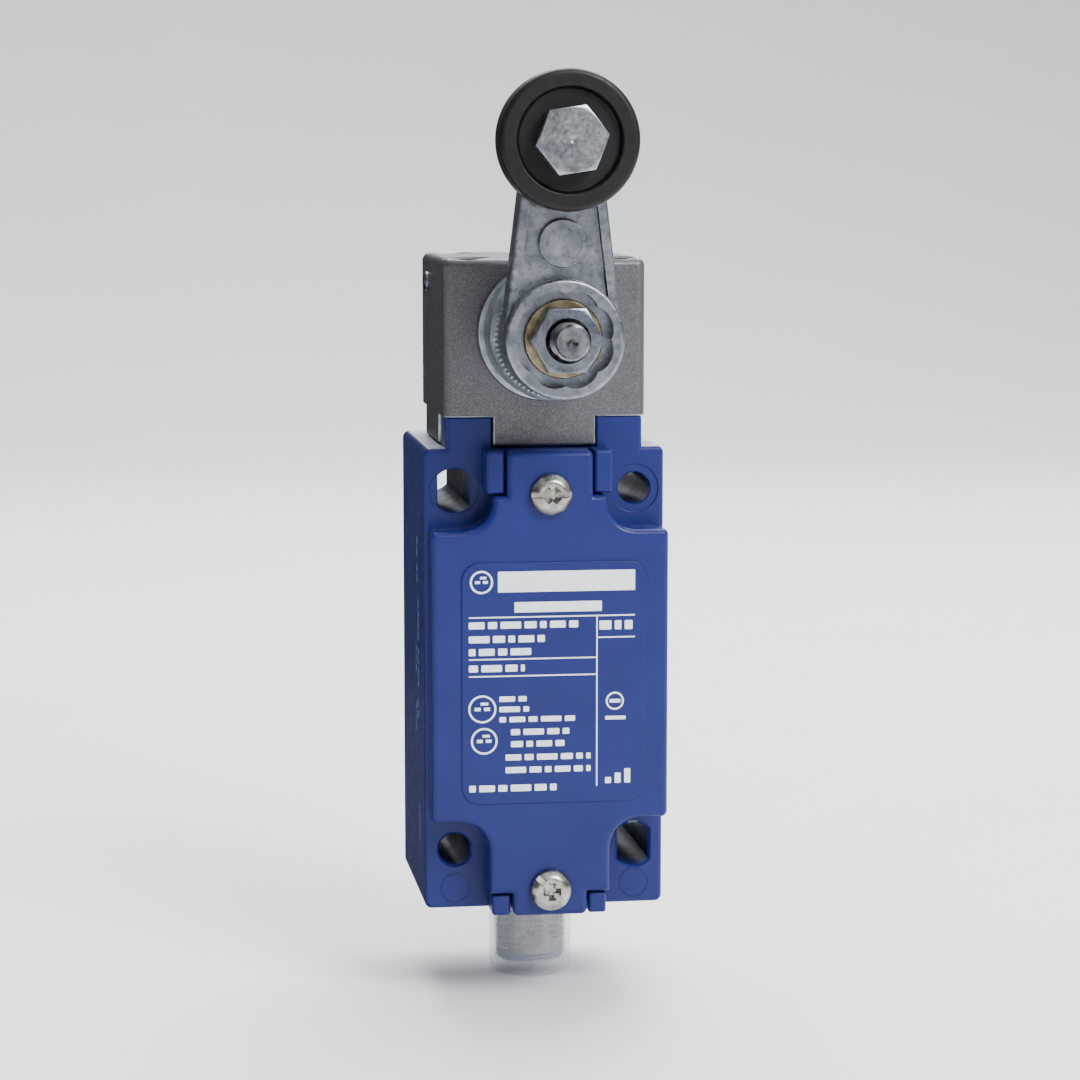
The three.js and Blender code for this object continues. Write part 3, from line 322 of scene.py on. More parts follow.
@dataclass(frozen=True)
class Moulded:
    """An injection-moulded plastic: a fine spark-eroded grain, slightly uneven gloss and no metal."""

    name: str
    slot: str
    colour: str
    light: str
    roughness: float = 0.42
    ior: float = 1.5

    def make(self) -> bpy.types.Material:
        """Builds the material."""
        s = Surface(self.name)
        s.link(
            "Base Color", s.blend(s.ramp(s.noise(3.0, 3.0), 0.35, 0.65, 0.0, 1.0), self.colour, self.light)
        )
        s.link(
            "Roughness", s.ramp(s.noise(1.2, 2.0), 0.3, 0.7, self.roughness - 0.07, self.roughness + 0.08)
        )
        s.set(IOR=self.ior)
        s.bump(s.noise(0.2, 2.0), 0.012, 0.5)
        return s.material


@dataclass(frozen=True)
class Rubber:
    """Moulded nitrile rubber: dark and dull, with a faint bloom."""

    name: str
    slot: str
    colour: str
    bloom: str

    def make(self) -> bpy.types.Material:
        """Builds the material."""
        s = Surface(self.name)
        s.link(
            "Base Color", s.blend(s.ramp(s.noise(1.8, 4.0), 0.4, 0.7, 0.0, 1.0), self.colour, self.bloom)
        )
        s.link("Roughness", s.ramp(s.noise(0.8), 0.3, 0.7, 0.62, 0.78))
        s.set(IOR=1.52)
        s.bump(s.noise(0.22, 2.0), 0.02, 0.5)
        return s.material


@dataclass(frozen=True)
class Milky:
    """Natural polyethylene: thin walls that let a blurred view through, with a waxy gloss."""

    name: str
    slot: str
    tint: str
    clear: float = 0.0
    opacity: float = 0.26

    def make(self) -> bpy.types.Material:
        """Builds the material."""
        s = Surface(self.name)
        s.link("Base Color", s.blend(s.ramp(s.noise(2.4, 2.0), 0.35, 0.65, 0.0, 1.0), self.tint, "#dbe1ea"))
        s.link("Roughness", s.ramp(s.noise(1.0), 0.3, 0.7, 0.26, 0.36))
        s.set(IOR=1.5, Transmission_Weight=self.clear, Alpha=self.opacity)
        s.bump(s.noise(2.4, 1.0), 0.02, 0.2)
        return s.material


@dataclass(frozen=True)
class Ink:
    """Screen-printed ink: flat, opaque and slightly dull, with a fine speckle where it is thin."""

    name: str
    slot: str
    colour: str
    thin: str

    def make(self) -> bpy.types.Material:
        """Builds the material."""
        s = Surface(self.name)
        s.link(
            "Base Color", s.blend(s.ramp(s.noise(0.3, 2.0), 0.55, 0.75, 0.0, 1.0), self.colour, self.thin)
        )
        s.link("Roughness", s.ramp(s.noise(0.8), 0.3, 0.7, 0.42, 0.52))
        s.bump(s.noise(0.25, 1.0), 0.004, 0.4)
        return s.material


BLUE_ENAMEL = Enamel("blue_stoved_enamel", "blue_paint", "#1a2363", "#18205e")
GREY_ENAMEL = FleckedEnamel("grey_flecked_enamel", "grey_paint", "#525257", "#6e6e73")
BARE_ZINC = DieCast("bare_die_cast_zinc", "bare_zinc", "#b4bcc2", "#8a949b")
PLATED_STEEL = TurnedMetal("zinc_plated_steel", "zinc_plated_steel", "#b9b7b0", "#87857f")
DARK_STEEL = TurnedMetal("rolled_dark_steel", "dark_steel", "#84868a", "#5a5c61", 0.3)
SPRING_STEEL = TurnedMetal("drawn_spring_steel", "zinc_plated_steel", "#a9abae", "#7f8185", 0.24)
BLOCK_GREY = Moulded("grey_filled_polyester", "grey_plastic", "#7c7d80", "#85868a", 0.5)
CHROMATE = TurnedMetal("yellow_chromate_steel", "brass", "#a2967a", "#766b52", 0.3)
DARK_PLATE = TurnedMetal("black_chromate_steel", "zinc_plated_steel", "#7d828c", "#5b606b", 0.28)
BOLT_STEEL = TurnedMetal("turned_bright_steel", "zinc_plated_steel", "#989ba1", "#74777d", 0.3)
LEVER_ZINC = DieCast("polished_die_cast_zinc", "bare_zinc", "#8e9299", "#6c717a", 0.3)
ROLLER_NYLON = Moulded("black_roller_nylon", "black_plastic", "#08080a", "#0d0d0f", 0.45, 1.35)
BRASS = TurnedMetal("turned_brass", "brass", "#c9a45c", "#a5803f", 0.24)
NICKEL = TurnedMetal("nickel_plated_brass", "nickel", "#cfcabb", "#bdb6a6", 0.28, 0.002)
SILVER = TurnedMetal("silver_contact", "silver", "#e2e2df", "#bdbdb9", 0.2)
BLACK_NYLON = Moulded("black_glass_filled_nylon", "black_plastic", "#161618", "#1e1e21", 0.4)
GREY_ACETAL = Moulded("grey_acetal", "grey_plastic", "#93939c", "#9d9da6", 0.45)
WHITE_ACETAL = Moulded("white_acetal", "white_plastic", "#dfe6ee", "#eef2f6", 0.35)
BLACK_RUBBER = Rubber("black_nitrile_rubber", "rubber", "#141415", "#222223")
BLUE_RUBBER = Rubber("blue_sealing_rubber", "blue_rubber", "#27406f", "#3a5488")
NATURAL_NYLON = Moulded("natural_nylon", "nylon", "#bccdd9", "#d3e0e8", 0.35)
CAP_PLASTIC = Milky("natural_polyethylene", "clear_cap", "#cdd5e2")
WHITE_INK = Ink("white_screen_ink", "blue_paint", "#e9edf3", "#c3cbdd")
FAINT_INK = Ink("pale_laser_mark", "blue_paint", "#5b6794", "#4a5687")
WIRES = {
    "wire_1": Moulded("brown_pvc", "wire_brown", "#6b3f22", "#7a4a2a", 0.3),
    "wire_2": Moulded("white_pvc", "wire_white", "#dcdcd6", "#e8e8e4", 0.3),
    "wire_3": Moulded("blue_pvc", "wire_blue", "#2b4fa0", "#3459ac", 0.3),
    "wire_4": Moulded("black_pvc", "wire_black", "#161616", "#1f1f1f", 0.3)
}

_made: dict[str, bpy.types.Material] = {}


def material(finish) -> bpy.types.Material:
    """The material of a finish, made once."""
    if finish.name not in _made:
        _made[finish.name] = finish.make()
    return _made[finish.name]


# ---------- mesh kit: every length in millimetres ----------


def cross(a: Vector, b: Vector) -> float:
    """The turn from one plane vector to another: its sign says left or right."""
    return a.x * b.y - a.y * b.x


def rounded(corners: Iterable[Corner], step: float = ARC_STEP) -> Outline:
    """One closed outline through corners, each rounded to its own radius.

    Args:
        corners: x, height and radius of each corner.
        step: the largest angle between two points of an arc.

    Returns:
        The outline's points.
    """
    listed = list(corners)
    points: Outline = []
    for i, (x, y, radius) in enumerate(listed):
        if not radius:
            points.append((x, y))
            continue
        here = Vector((x, y))
        back = (Vector(listed[i - 1][:2]) - here).normalized()
        ahead = (Vector(listed[(i + 1) % len(listed)][:2]) - here).normalized()
        half = math.acos(max(-1.0, min(1.0, back.dot(ahead)))) / 2
        centre = here + (back + ahead).normalized() * (radius / math.sin(half))
        arm = here + back * (radius / math.tan(half)) - centre
        sweep = math.copysign(math.pi - 2 * half, cross(ahead, back))
        count = max(2, math.ceil(abs(sweep) / step))
        for k in range(count + 1):
            a = sweep * k / count
            points.append(
                (
                    centre.x + arm.x * math.cos(a) - arm.y * math.sin(a),
                    centre.y + arm.x * math.sin(a) + arm.y * math.cos(a)
                )
            )
    return points


def oblong(left: float, right: float, low: float, high: float, radius: float = 0.0) -> list[Corner]:
    """A rectangle's corners, each with the same rounding."""
    return [(left, low, radius), (right, low, radius), (right, high, radius), (left, high, radius)]


def polar(radius: float, angle: float) -> tuple[float, float]:
    """The plane point at a radius and an angle."""
    return (radius * math.cos(angle), radius * math.sin(angle))


def hexagon(across: float, turn: float = 0.0) -> Outline:
    """A hexagon's outline, across flats."""
    return [polar(across / math.sqrt(3), turn + TURN * i / 6) for i in range(6)]


def winding(outline: Outline) -> float:
    """Plus one for an outline that runs anticlockwise, and minus one for the other way."""
    return math.copysign(1.0, sum(cross(Vector(outline[i - 1]), Vector(p)) for i, p in enumerate(outline)))


def drawn_in(outline: list, by: float) -> Outline:
    """An outline drawn in by a distance, always with the same number of points.

    Args:
        outline: plain points, or corners with a rounding each, whose rounding changes with the distance.
        by: the distance.

    Returns:
        The outline's points.
    """
    if len(outline[0]) == 2:
        return inset(outline, by) if by else outline
    plain = [(x, y) for x, y, _ in outline]
    turn = winding(plain)
    corners = []
    for i, (x, y) in enumerate(inset(plain, by)):
        before = Vector(plain[i]) - Vector(plain[i - 1])
        after = Vector(plain[(i + 1) % len(plain)]) - Vector(plain[i])
        outward = cross(before, after) * turn > 0
        radius = outline[i][2]
        corners.append((x, y, max(radius - by if outward else radius + by, 0.02)))
    return rounded(corners)


def inset(outline: Outline, by: float) -> Outline:
    """Points drawn in by a distance, one for one."""
    turn = winding(outline)
    drawn = []
    for i, point in enumerate(outline):
        here = Vector(point)
        before = (here - Vector(outline[i - 1])).normalized()
        after = (Vector(outline[(i + 1) % len(outline)]) - here).normalized()
        n1 = Vector((-before.y, before.x)) * turn
        n2 = Vector((-after.y, after.x)) * turn
        middle = (n1 + n2) / max(0.35, 1 + n1.dot(n2))
        drawn.append(tuple(here + middle * by))
    return drawn


class Shape:
    """A closed mesh under construction, with a material number on each face."""

    def __init__(self) -> None:
        """Starts empty."""
        self.bm = bmesh.new()

    def __add__(self, other: "Shape") -> "Shape":
        """Both shapes' faces in one, not merged."""
        both = Shape()
        for part in (self, other):
            mesh = bpy.data.meshes.new("part")
            part.bm.to_mesh(mesh)
            both.bm.from_mesh(mesh)
            bpy.data.meshes.remove(mesh)
        return both

    @classmethod
    def of(cls, mesh: bpy.types.Mesh) -> "Shape":
        """A shape that takes over a mesh, which is deleted."""
        shape = cls()
        shape.bm.from_mesh(mesh)
        bpy.data.meshes.remove(mesh)
        return shape

    def loft(self, rings: list[list[Vector]], closed: bool = False, paint: int = 0) -> "Shape":
        """Skins a row of equal rings.

        Args:
            rings: the rings' points, in order.
            closed: whether the last ring joins the first, and so needs no end caps.
            paint: the faces' material number.

        Returns:
            The shape itself.
        """
        made = [[self.bm.verts.new(p) for p in ring] for ring in rings]
        pairs = list(zip(made, made[1:] + made[:1])) if closed else list(zip(made, made[1:]))
        for low, high in pairs:
            for i in range(len(low)):
                j = (i + 1) % len(low)
                self._face([low[i], low[j], high[j], high[i]], paint)
        if not closed:
            self._face(list(reversed(made[0])), paint)
            self._face(made[-1], paint)
        bmesh.ops.recalc_face_normals(self.bm, faces=self.bm.faces)
        return self

    def _face(self, verts: list, paint: int) -> None:
        """Adds one face and its material number."""
        face = self.bm.faces.new(verts)
        face.material_index = paint

    def move(self, x: float = 0.0, y: float = 0.0, z: float = 0.0) -> "Shape":
        """Shifts the shape, and returns it."""
        bmesh.ops.translate(self.bm, verts=self.bm.verts, vec=(x, y, z))
        return self

    def turn(self, angle: float, axis: Axis, about: Point = ORIGIN) -> "Shape":
        """Turns the shape about an axis through a point, and returns it."""
        matrix = Matrix.Rotation(angle, 3, axis.name)
        bmesh.ops.rotate(self.bm, verts=self.bm.verts, cent=about, matrix=matrix)
        return self

    def copies(self, count: int, axis: Axis, about: Point = ORIGIN, start: float = 0.0) -> list["Shape"]:
        """Evenly turned copies of the shape about an axis."""
        return [(self + Shape()).turn(start + TURN * i / count, axis, about) for i in range(count)]

    def paint(self, number: int, where=lambda face: True) -> "Shape":
        """Gives a material number to the faces that a test picks, and returns the shape."""
        self.bm.normal_update()
        for face in self.bm.faces:
            if where(face):
                face.material_index = number
        return self


def box(x0: float, x1: float, y0: float, y1: float, z0: float, z1: float, paint: int = 0) -> Shape:
    """A box from its limits."""
    ring = [(x0, y0), (x1, y0), (x1, y1), (x0, y1)]
    return Shape().loft([[Vector((x, y, z)) for x, y in ring] for z in (z0, z1)], paint=paint)


def softened(outline: Outline, edge: float) -> list[tuple[Outline, float]]:
    """The rings of a quarter-round edge: each drawn-in outline and how far it stands below the face."""
    rings = []
    for k in range(EDGE_STEPS + 1):
        a = math.pi / 2 * k / EDGE_STEPS
        rings.append((drawn_in(outline, edge * (1 - math.sin(a))), edge * (1 - math.cos(a))))
    return list(reversed(rings))


def front_plate(
    outline: Outline, back: float, front: float, edge: float = 0.0, rear_edge: float = 0.0
) -> Shape:
    """An outline in X-Z, thick from y = back forward to y = front, with rounded front and rear edges."""
    flat = drawn_in(outline, 0.0)
    rings = [
        (o, back - drop) for o, drop in reversed(softened(outline, rear_edge))
    ] if rear_edge else [(flat, back)]
    rings += [(o, front + drop) for o, drop in softened(outline, edge)] if edge else [(flat, front)]
    return Shape().loft([[Vector((x, y, z)) for x, z in o] for o, y in rings])


def plan_plate(
    outline: Outline, low: float, high: float, edge: float = 0.0, low_edge: float = 0.0
) -> Shape:
    """An outline in X-Y, thick from z = low to z = high, with rounded top and bottom edges."""
    flat = drawn_in(outline, 0.0)
    rings = [
        (o, low + drop) for o, drop in reversed(softened(outline, low_edge))
    ] if low_edge else [(flat, low)]
    rings += [(o, high - drop) for o, drop in softened(outline, edge)] if edge else [(flat, high)]
    return Shape().loft([[Vector((x, y, z)) for x, y in o] for o, z in rings])


def fillet(profile: Iterable[Corner], steps: int = 4) -> Outline:
    """A lathe profile through corners of radius, height and rounding."""
    return rounded(profile, math.pi / 2 / steps)


def turned(profile: Outline, axis: Axis = Axis.Z, sides: int = 96, at: Point = ORIGIN) -> Shape:
    """A lathe shape from a closed profile of (radius, distance along the axis).

    Points on the axis are left out, and the rings next to them are closed with flat caps.
    """
    solid = any(r <= 1e-6 for r, _ in profile)
    shape = Shape()
    if solid:
        inner = [p for p in profile if p[0] > 1e-6]
        start = next(
            i for i, p in enumerate(profile) if p[0] <= 1e-6 and profile[(i + 1) % len(profile)][0] > 1e-6
        )
        order = profile[start + 1 :] + profile[: start + 1]
        inner = [p for p in order if p[0] > 1e-6]
    else:
        inner = list(profile)

    def ring(r: float, h: float) -> list[Vector]:
        points = []
        for i in range(sides):
            a = TURN * i / sides
            c, s = r * math.cos(a), r * math.sin(a)
            points.append(
                Vector((c, h, s) if axis is Axis.Y else (h, c, s) if axis is Axis.X else (c, s, h))
            )
        return points

    shape.loft([ring(r, h) for r, h in inner], closed=not solid)
    return shape.move(*at)


def lathe(
    corners: Iterable[Corner], axis: Axis = Axis.Z, sides: int = 96, at: Point = ORIGIN, steps: int = 4
) -> Shape:
    """A lathe shape through corners of radius, height and rounding."""
    return turned(fillet(corners, steps), axis, sides, at)


def rod(
    radius: float, low: float, high: float, axis: Axis = Axis.Z, sides: int = 64, at: Point = ORIGIN,
    edge: float = 0.0
) -> Shape:
    """A solid round rod, with rounded ends if edge is given."""
    return lathe([(0, low, 0), (radius, low, edge), (radius, high, edge), (0, high, 0)], axis, sides, at)


def tube(
    outer: float, inner: float, low: float, high: float, axis: Axis = Axis.Z, sides: int = 96,
    at: Point = ORIGIN
) -> Shape:
    """A hollow round tube."""
    return turned([(inner, low), (outer, low), (outer, high), (inner, high)], axis, sides, at)


def sink(radius: float, depth: float, y: float, x: float, z: float, out: float = 0.5) -> Shape:
    """A cone that chamfers a hole's front edge: at y it is as wide as the hole and its chamfer."""
    profile = [(0, y - out), (radius + depth + out, y - out), (radius, y + depth), (0, y + depth)]
    return turned(profile, Axis.Y, 48, (x, 0, z))


def thread(
    core: float, crest: float, pitch: float, low: float, high: float, sides: int = 40, chamfer: float = 0.6
):
    """A rod with a helical screw thread along Z, its ends chamfered.

    Args:
        core: radius at the thread's root.
        crest: radius at its crest.
        pitch: distance between two crests.
        low: lower end.
        high: upper end.
        sides: points round the rod.
        chamfer: height over which each end narrows to the core.

    Returns:
        The closed shape.
    """
    per_turn = 8
    step = pitch / per_turn
    count = int((high - low) / step) + 1
    rings = []
    for k in range(count + 1):
        z = min(high, low + k * step)
        near = min(z - low, high - z)
        cap = core + (crest - core) * min(1.0, near / chamfer) if chamfer else crest
        ring = []
        for i in range(sides):
            a = TURN * i / sides
            phase = ((z - low) / pitch - i / sides) % 1.0
            wave = abs(2 * phase - 1)
            r = core + (crest - core) * max(0.0, min(1.0, (wave - 0.12) / 0.72))
            r = min(r, cap)
            ring.append(Vector((r * math.cos(a), r * math.sin(a), z)))
        rings.append(ring)
    return Shape().loft(rings)


# ---------- geometry nodes: what repeats ----------


@dataclass
class Tree:
    """A geometry node tree with named inputs, which are set by their identifiers."""

    name: str
    inputs: dict

    def __post_init__(self) -> None:
        """Makes the tree and its inputs: a name to a socket type and a value."""
        self.tree = bpy.data.node_groups.new(self.name, "GeometryNodeTree")
        self.tree.interface.new_socket("Geometry", in_out="OUTPUT", socket_type="NodeSocketGeometry")
        for label, (kind, _) in self.inputs.items():
            self.tree.interface.new_socket(label, in_out="INPUT", socket_type=kind)
        self.start = add(self.tree, "NodeGroupInput")
        self.end = add(self.tree, "NodeGroupOutput")

    def value(self, label: str) -> bpy.types.NodeSocket:
        """The socket that gives an input's value."""
        return self.start.outputs[label]

    def math(self, operation: str, first, second) -> bpy.types.NodeSocket:
        """The result of a sum of two values or sockets."""
        return add(self.tree, "ShaderNodeMath", {0: first, 1: second}, operation=operation).outputs[0]

    def finish(self, geometry: bpy.types.NodeSocket) -> Shape:
        """Ends the tree, runs it, and returns what it makes as a shape in millimetres.

        Args:
            geometry: what the tree has made so far.

        Returns:
            The plain shape.
        """
        real = add(self.tree, "GeometryNodeRealizeInstances", {"Geometry": geometry}).outputs[0]
        dressed = add(
            self.tree, "GeometryNodeSetMaterial", {"Geometry": real, "Material": self.value("Material")}
        )
        self.tree.links.new(dressed.outputs[0], self.end.inputs[0])
        obj = object_from(self.name, Shape())
        modifier = obj.modifiers.new(self.name, "NODES")
        modifier.node_group = self.tree
        for item in self.tree.interface.items_tree:
            if item.item_type == "SOCKET" and item.in_out == "INPUT":
                modifier[item.identifier] = self.inputs[item.name][1]
        shape = Shape.of(evaluated(obj)).paint(0)
        drop(obj)
        bpy.data.node_groups.remove(self.tree)
        return shape


def blocks_round(
    count: int, radius: float, size: tuple, at: tuple, finish, lean: float = 0.0, start: float = 0.0
) -> Shape:
    """Equal blocks in a ring about a vertical axis, such as ribs, splines or teeth.

    Args:
        count: how many there are.
        radius: from the axis to a block's middle.
        size: a block's radial, tangential and vertical size.
        at: the ring's middle.
        finish: the blocks' finish.
        lean: how far each block leans over, about its radius.
        start: the first block's angle.

    Returns:
        The blocks in one shape.
    """
    real, whole, triple = "NodeSocketFloat", "NodeSocketInt", "NodeSocketVector"
    made = Tree(
        "blocks_round",
        {
            "Count": (whole, count), "Radius": (real, radius), "Block": (triple, size),
            "Lean": (real, lean), "Material": ("NodeSocketMaterial", material(finish))
        }
    )
    tree = made.tree
    ring = add(
        tree, "GeometryNodeMeshCircle", {"Vertices": made.value("Count"), "Radius": made.value("Radius")}
    )
    block = add(tree, "GeometryNodeMeshCube", {"Size": made.value("Block")})
    index = add(tree, "GeometryNodeInputIndex").outputs[0]
    angle = made.math("MULTIPLY", made.math("DIVIDE", index, made.value("Count")), TURN)
    turn = add(tree, "ShaderNodeCombineXYZ", {"X": made.value("Lean"), "Z": angle})
    placed = add(
        tree, "GeometryNodeInstanceOnPoints",
        {"Points": ring.outputs[0], "Instance": block.outputs["Mesh"], "Rotation": turn.outputs[0]}
    )
    return made.finish(placed.outputs[0]).turn(start, Axis.Z).move(*at)


def coil(radius: float, wire: float, turns: float, height: float, at: tuple, finish) -> Shape:
    """A compression spring: round wire in a rising coil with closed ends.

    Args:
        radius: from the axis to the wire's middle.
        wire: the wire's thickness.
        turns: how many turns it has.
        height: from its lower end to its upper end.
        at: the lower end's middle.
        finish: the wire's finish.

    Returns:
        The coil.
    """
    real, whole = "NodeSocketFloat", "NodeSocketInt"
    made = Tree(
        "coil",
        {
            "Turns": (real, turns), "Radius": (real, radius), "Rise": (real, height - wire),
            "Wire": (real, wire / 2), "Steps": (whole, 40),
            "Material": ("NodeSocketMaterial", material(finish))
        }
    )
    tree = made.tree
    path = add(
        tree, "GeometryNodeCurveSpiral",
        {
            "Resolution": made.value("Steps"), "Rotations": made.value("Turns"),
            "Start Radius": made.value("Radius"), "End Radius": made.value("Radius"),
            "Height": made.value("Rise")
        }
    )
    section = add(
        tree, "GeometryNodeCurvePrimitiveCircle", {"Radius": made.value("Wire"), "Resolution": 12}
    )
    swept = add(
        tree, "GeometryNodeCurveToMesh",
        {"Curve": path.outputs[0], "Profile Curve": section.outputs[0], "Fill Caps": True}
    )
    return made.finish(swept.outputs[0]).move(at[0], at[1], at[2] + wire / 2)


# ---------- pieces ----------


@dataclass(frozen=True)
class Step:
    """One boolean step of a piece: what is done, and the shapes that do it."""

    kind: Cut
    tools: tuple


def removing(*tools: Shape) -> Step:
    """A step that cuts shapes out."""
    return Step(Cut.REMOVE, tools)


def joining(*tools: Shape) -> Step:
    """A step that melts shapes on."""
    return Step(Cut.JOIN, tools)


def keeping(tool: Shape) -> Step:
    """A step that leaves only what lies inside a shape."""
    return Step(Cut.KEEP, (tool,))


def object_from(name: str, shape: Shape) -> bpy.types.Object:
    """A linked object that holds a shape, in millimetres."""
    mesh = bpy.data.meshes.new(name)
    shape.bm.to_mesh(mesh)
    obj = bpy.data.objects.new(name, mesh)
    bpy.context.scene.collection.objects.link(obj)
    return obj


def evaluated(obj: bpy.types.Object) -> bpy.types.Mesh:
    """The object's mesh with its modifiers applied, as a mesh of its own."""
    graph = bpy.context.evaluated_depsgraph_get()
    graph.update()
    return bpy.data.meshes.new_from_object(obj.evaluated_get(graph))


def drop(obj: bpy.types.Object) -> None:
    """Deletes an object and its mesh."""
    mesh = obj.data
    bpy.data.objects.remove(obj)
    bpy.data.meshes.remove(mesh)


def carved(base: Shape, steps: Iterable[Step]) -> Shape:
    """Runs boolean steps on a shape.

    Args:
        base: the shape to start from.
        steps: the steps, in order.

    Returns:
        The result.
    """
    obj = object_from("carving", base)
    tools = []
    for step in steps:
        for tool in step.tools:
            tools.append(object_from("tool", tool))
            modifier = obj.modifiers.new("cut", "BOOLEAN")
            modifier.operation = step.kind.value
            modifier.object = tools[-1]
            modifier.solver = "MANIFOLD"
    result = Shape.of(evaluated(obj))
    for used in [obj, *tools]:
        drop(used)
    bmesh.ops.remove_doubles(result.bm, verts=result.bm.verts, dist=MERGE)
    bmesh.ops.dissolve_degenerate(result.bm, edges=result.bm.edges, dist=MERGE)
    if not result.bm.faces:
        raise RuntimeError("a boolean step left nothing")
    return result


@dataclass
class Kit:
    """Turns shapes into finished pieces, and keeps count of them."""

    made: list = field(default_factory=list)

    def piece(
        self, name: str, shape: Shape, finishes, body: str, nodes: Iterable[str] = (),
        steps: Iterable[Step] = (), paint=None, sharp: float = SHARP_ANGLE
    ) -> bpy.types.Object:
        """Finishes one piece.

        Args:
            name: the piece's name.
            shape: its shape in millimetres.
            finishes: one finish, or a list of them in the order of the material numbers.
            body: the body that it rides on.
            nodes: the CAD nodes that it stands for.
            steps: boolean steps to run first.
            paint: called with the finished shape, to set material numbers.
            sharp: faces that meet at a larger angle keep a crisp edge.

        Returns:
            The new object.
        """
        steps = list(steps)
        if steps:
            shape = carved(shape, steps)
        if paint:
            paint(shape)
        bm = shape.bm
        bmesh.ops.scale(bm, vec=(MM, MM, MM), verts=bm.verts)
        bm.normal_update()
        for face in bm.faces:
            face.smooth = True
        for edge in bm.edges:
            edge.smooth = len(edge.link_faces) != 2 or edge.calc_face_angle(0.0) < sharp
        obj = object_from(name, shape)
        listed = list(finishes) if isinstance(finishes, (list, tuple)) else [finishes]
        modifier = obj.modifiers.new("weights", "WEIGHTED_NORMAL")
        modifier.keep_sharp = True
        modifier.weight = 60
        mesh = evaluated(obj)
        obj.modifiers.clear()
        old = obj.data
        obj.data = mesh
        bpy.data.meshes.remove(old)
        mesh.name = name
        for finish in listed:
            mesh.materials.append(material(finish))
        self.hand_over(obj, body, nodes)
        return obj

    def hand_over(self, obj: bpy.types.Object, body: str, nodes: Iterable[str] = ()) -> None:
        """Parents a new object to its body's empty, hides the CAD nodes that it stands for, and keeps count
        of it.
        """
        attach(obj, body)
        if nodes:
            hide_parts(*nodes)
        self.made.append(obj.name)
        log.info("%s: %d faces on %s", obj.name, len(obj.data.polygons), body)

    def dress(self, finish, *nodes: str) -> None:
        """Gives a finish to CAD nodes that keep their own shape."""
        for node in nodes:
            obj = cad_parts[node]
            for number in range(max(1, len(obj.material_slots))):
                if not obj.material_slots:
                    obj.data.materials.append(None)
                obj.material_slots[number].link = "OBJECT"
                obj.material_slots[number].material = material(finish)
            log.info("%s: dressed in %s", node, finish.name)


# ---------- places ----------


def span(node: str) -> tuple[Vector, Vector]:
    """A node's lowest and highest corners, in millimetres."""
    low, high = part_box(node)
    return low / MM, high / MM


@dataclass(frozen=True)
class Places:
    """Where the model's main features lie, read from its nodes, in millimetres."""

    half_width: float
    bottom: float
    top: float
    ear: float
    cover_back: float
    cover_front: float
    seat: float
    axis_y: float
    shaft_z: float
    roller_z: float
    entry_y: float

    @classmethod
    def read(cls) -> "Places":
        """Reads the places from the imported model."""
        low, high = span("housing")
        cover_low, cover_high = span("cover")
        head_low, head_high = span("head_housing")
        ring_low, ring_high = span("indexing_ring")
        roller_low, roller_high = span("roller")
        shell_low, shell_high = span("connector_shell")
        disc_low, disc_high = span("retaining_disc")
        return cls(
            half_width=high.x, bottom=low.z, top=high.z - 5, ear=-35.0, cover_back=cover_high.y,
            cover_front=cover_low.y + 0.3, seat=high.z, axis_y=(disc_low.y + disc_high.y) / 2,
            shaft_z=(ring_low.z + ring_high.z) / 2, roller_z=(roller_low.z + roller_high.z) / 2,
            entry_y=(shell_low.y + shell_high.y) / 2
        )


AT = Places.read()


# ---------- screws ----------


@dataclass(frozen=True)
class PanScrew:
    """A pan-head screw, seated at y = 0 with its head to the front, its slot and cross recess cut in."""

    head: float = 6.9
    height: float = 2.2
    thread: float = 4.0
    pitch: float = 0.7
    reach: float = 11.9
    crossed: bool = True

    def shape(self, turn_by: float = 0.0) -> Shape:
        """The screw's shape, its slot turned by an angle."""
        r, h = self.head / 2, self.height
        profile = fillet(
            [
                (0, -0.05, 0), (r - 0.05, -0.05, 0), (r, -0.35, 0.25), (r * 0.97, -h * 0.55, 0.8),
                (r * 0.7, -h, 1.1), (0, -h, 0)
            ],
            5
        )
        head = turned(profile, Axis.Y, 72)
        slot = box(-self.head, self.head, -h - 1, -h * 0.55, -self.head * 0.068, self.head * 0.068)
        tools = [slot]
        if self.crossed:
            for way in (1, -1):
                arm = Shape().loft(
                    [
                        [
                            Vector((x * w, y, z * w))
                            for x, z in ((-1, -0.42), (1, -0.42), (1, 0.42), (-1, 0.42))
                        ]
                        for y, w in ((-h - 0.6, self.head * 0.25), (-h * 0.32, self.head * 0.12))
                    ]
                )
                tools.append(arm.turn(way * math.pi / 4, Axis.Y))
        head = carved(head, [removing(*tools)])
        shank = thread(
            self.thread / 2 - 0.42 * self.pitch, self.thread / 2, self.pitch, 0.0, self.reach + 0.4, 32
        )
        shank.turn(-math.pi / 2, Axis.X).move(y=-0.2)
        return (head + shank).turn(turn_by, Axis.Y)


# ---------- cover outline ----------


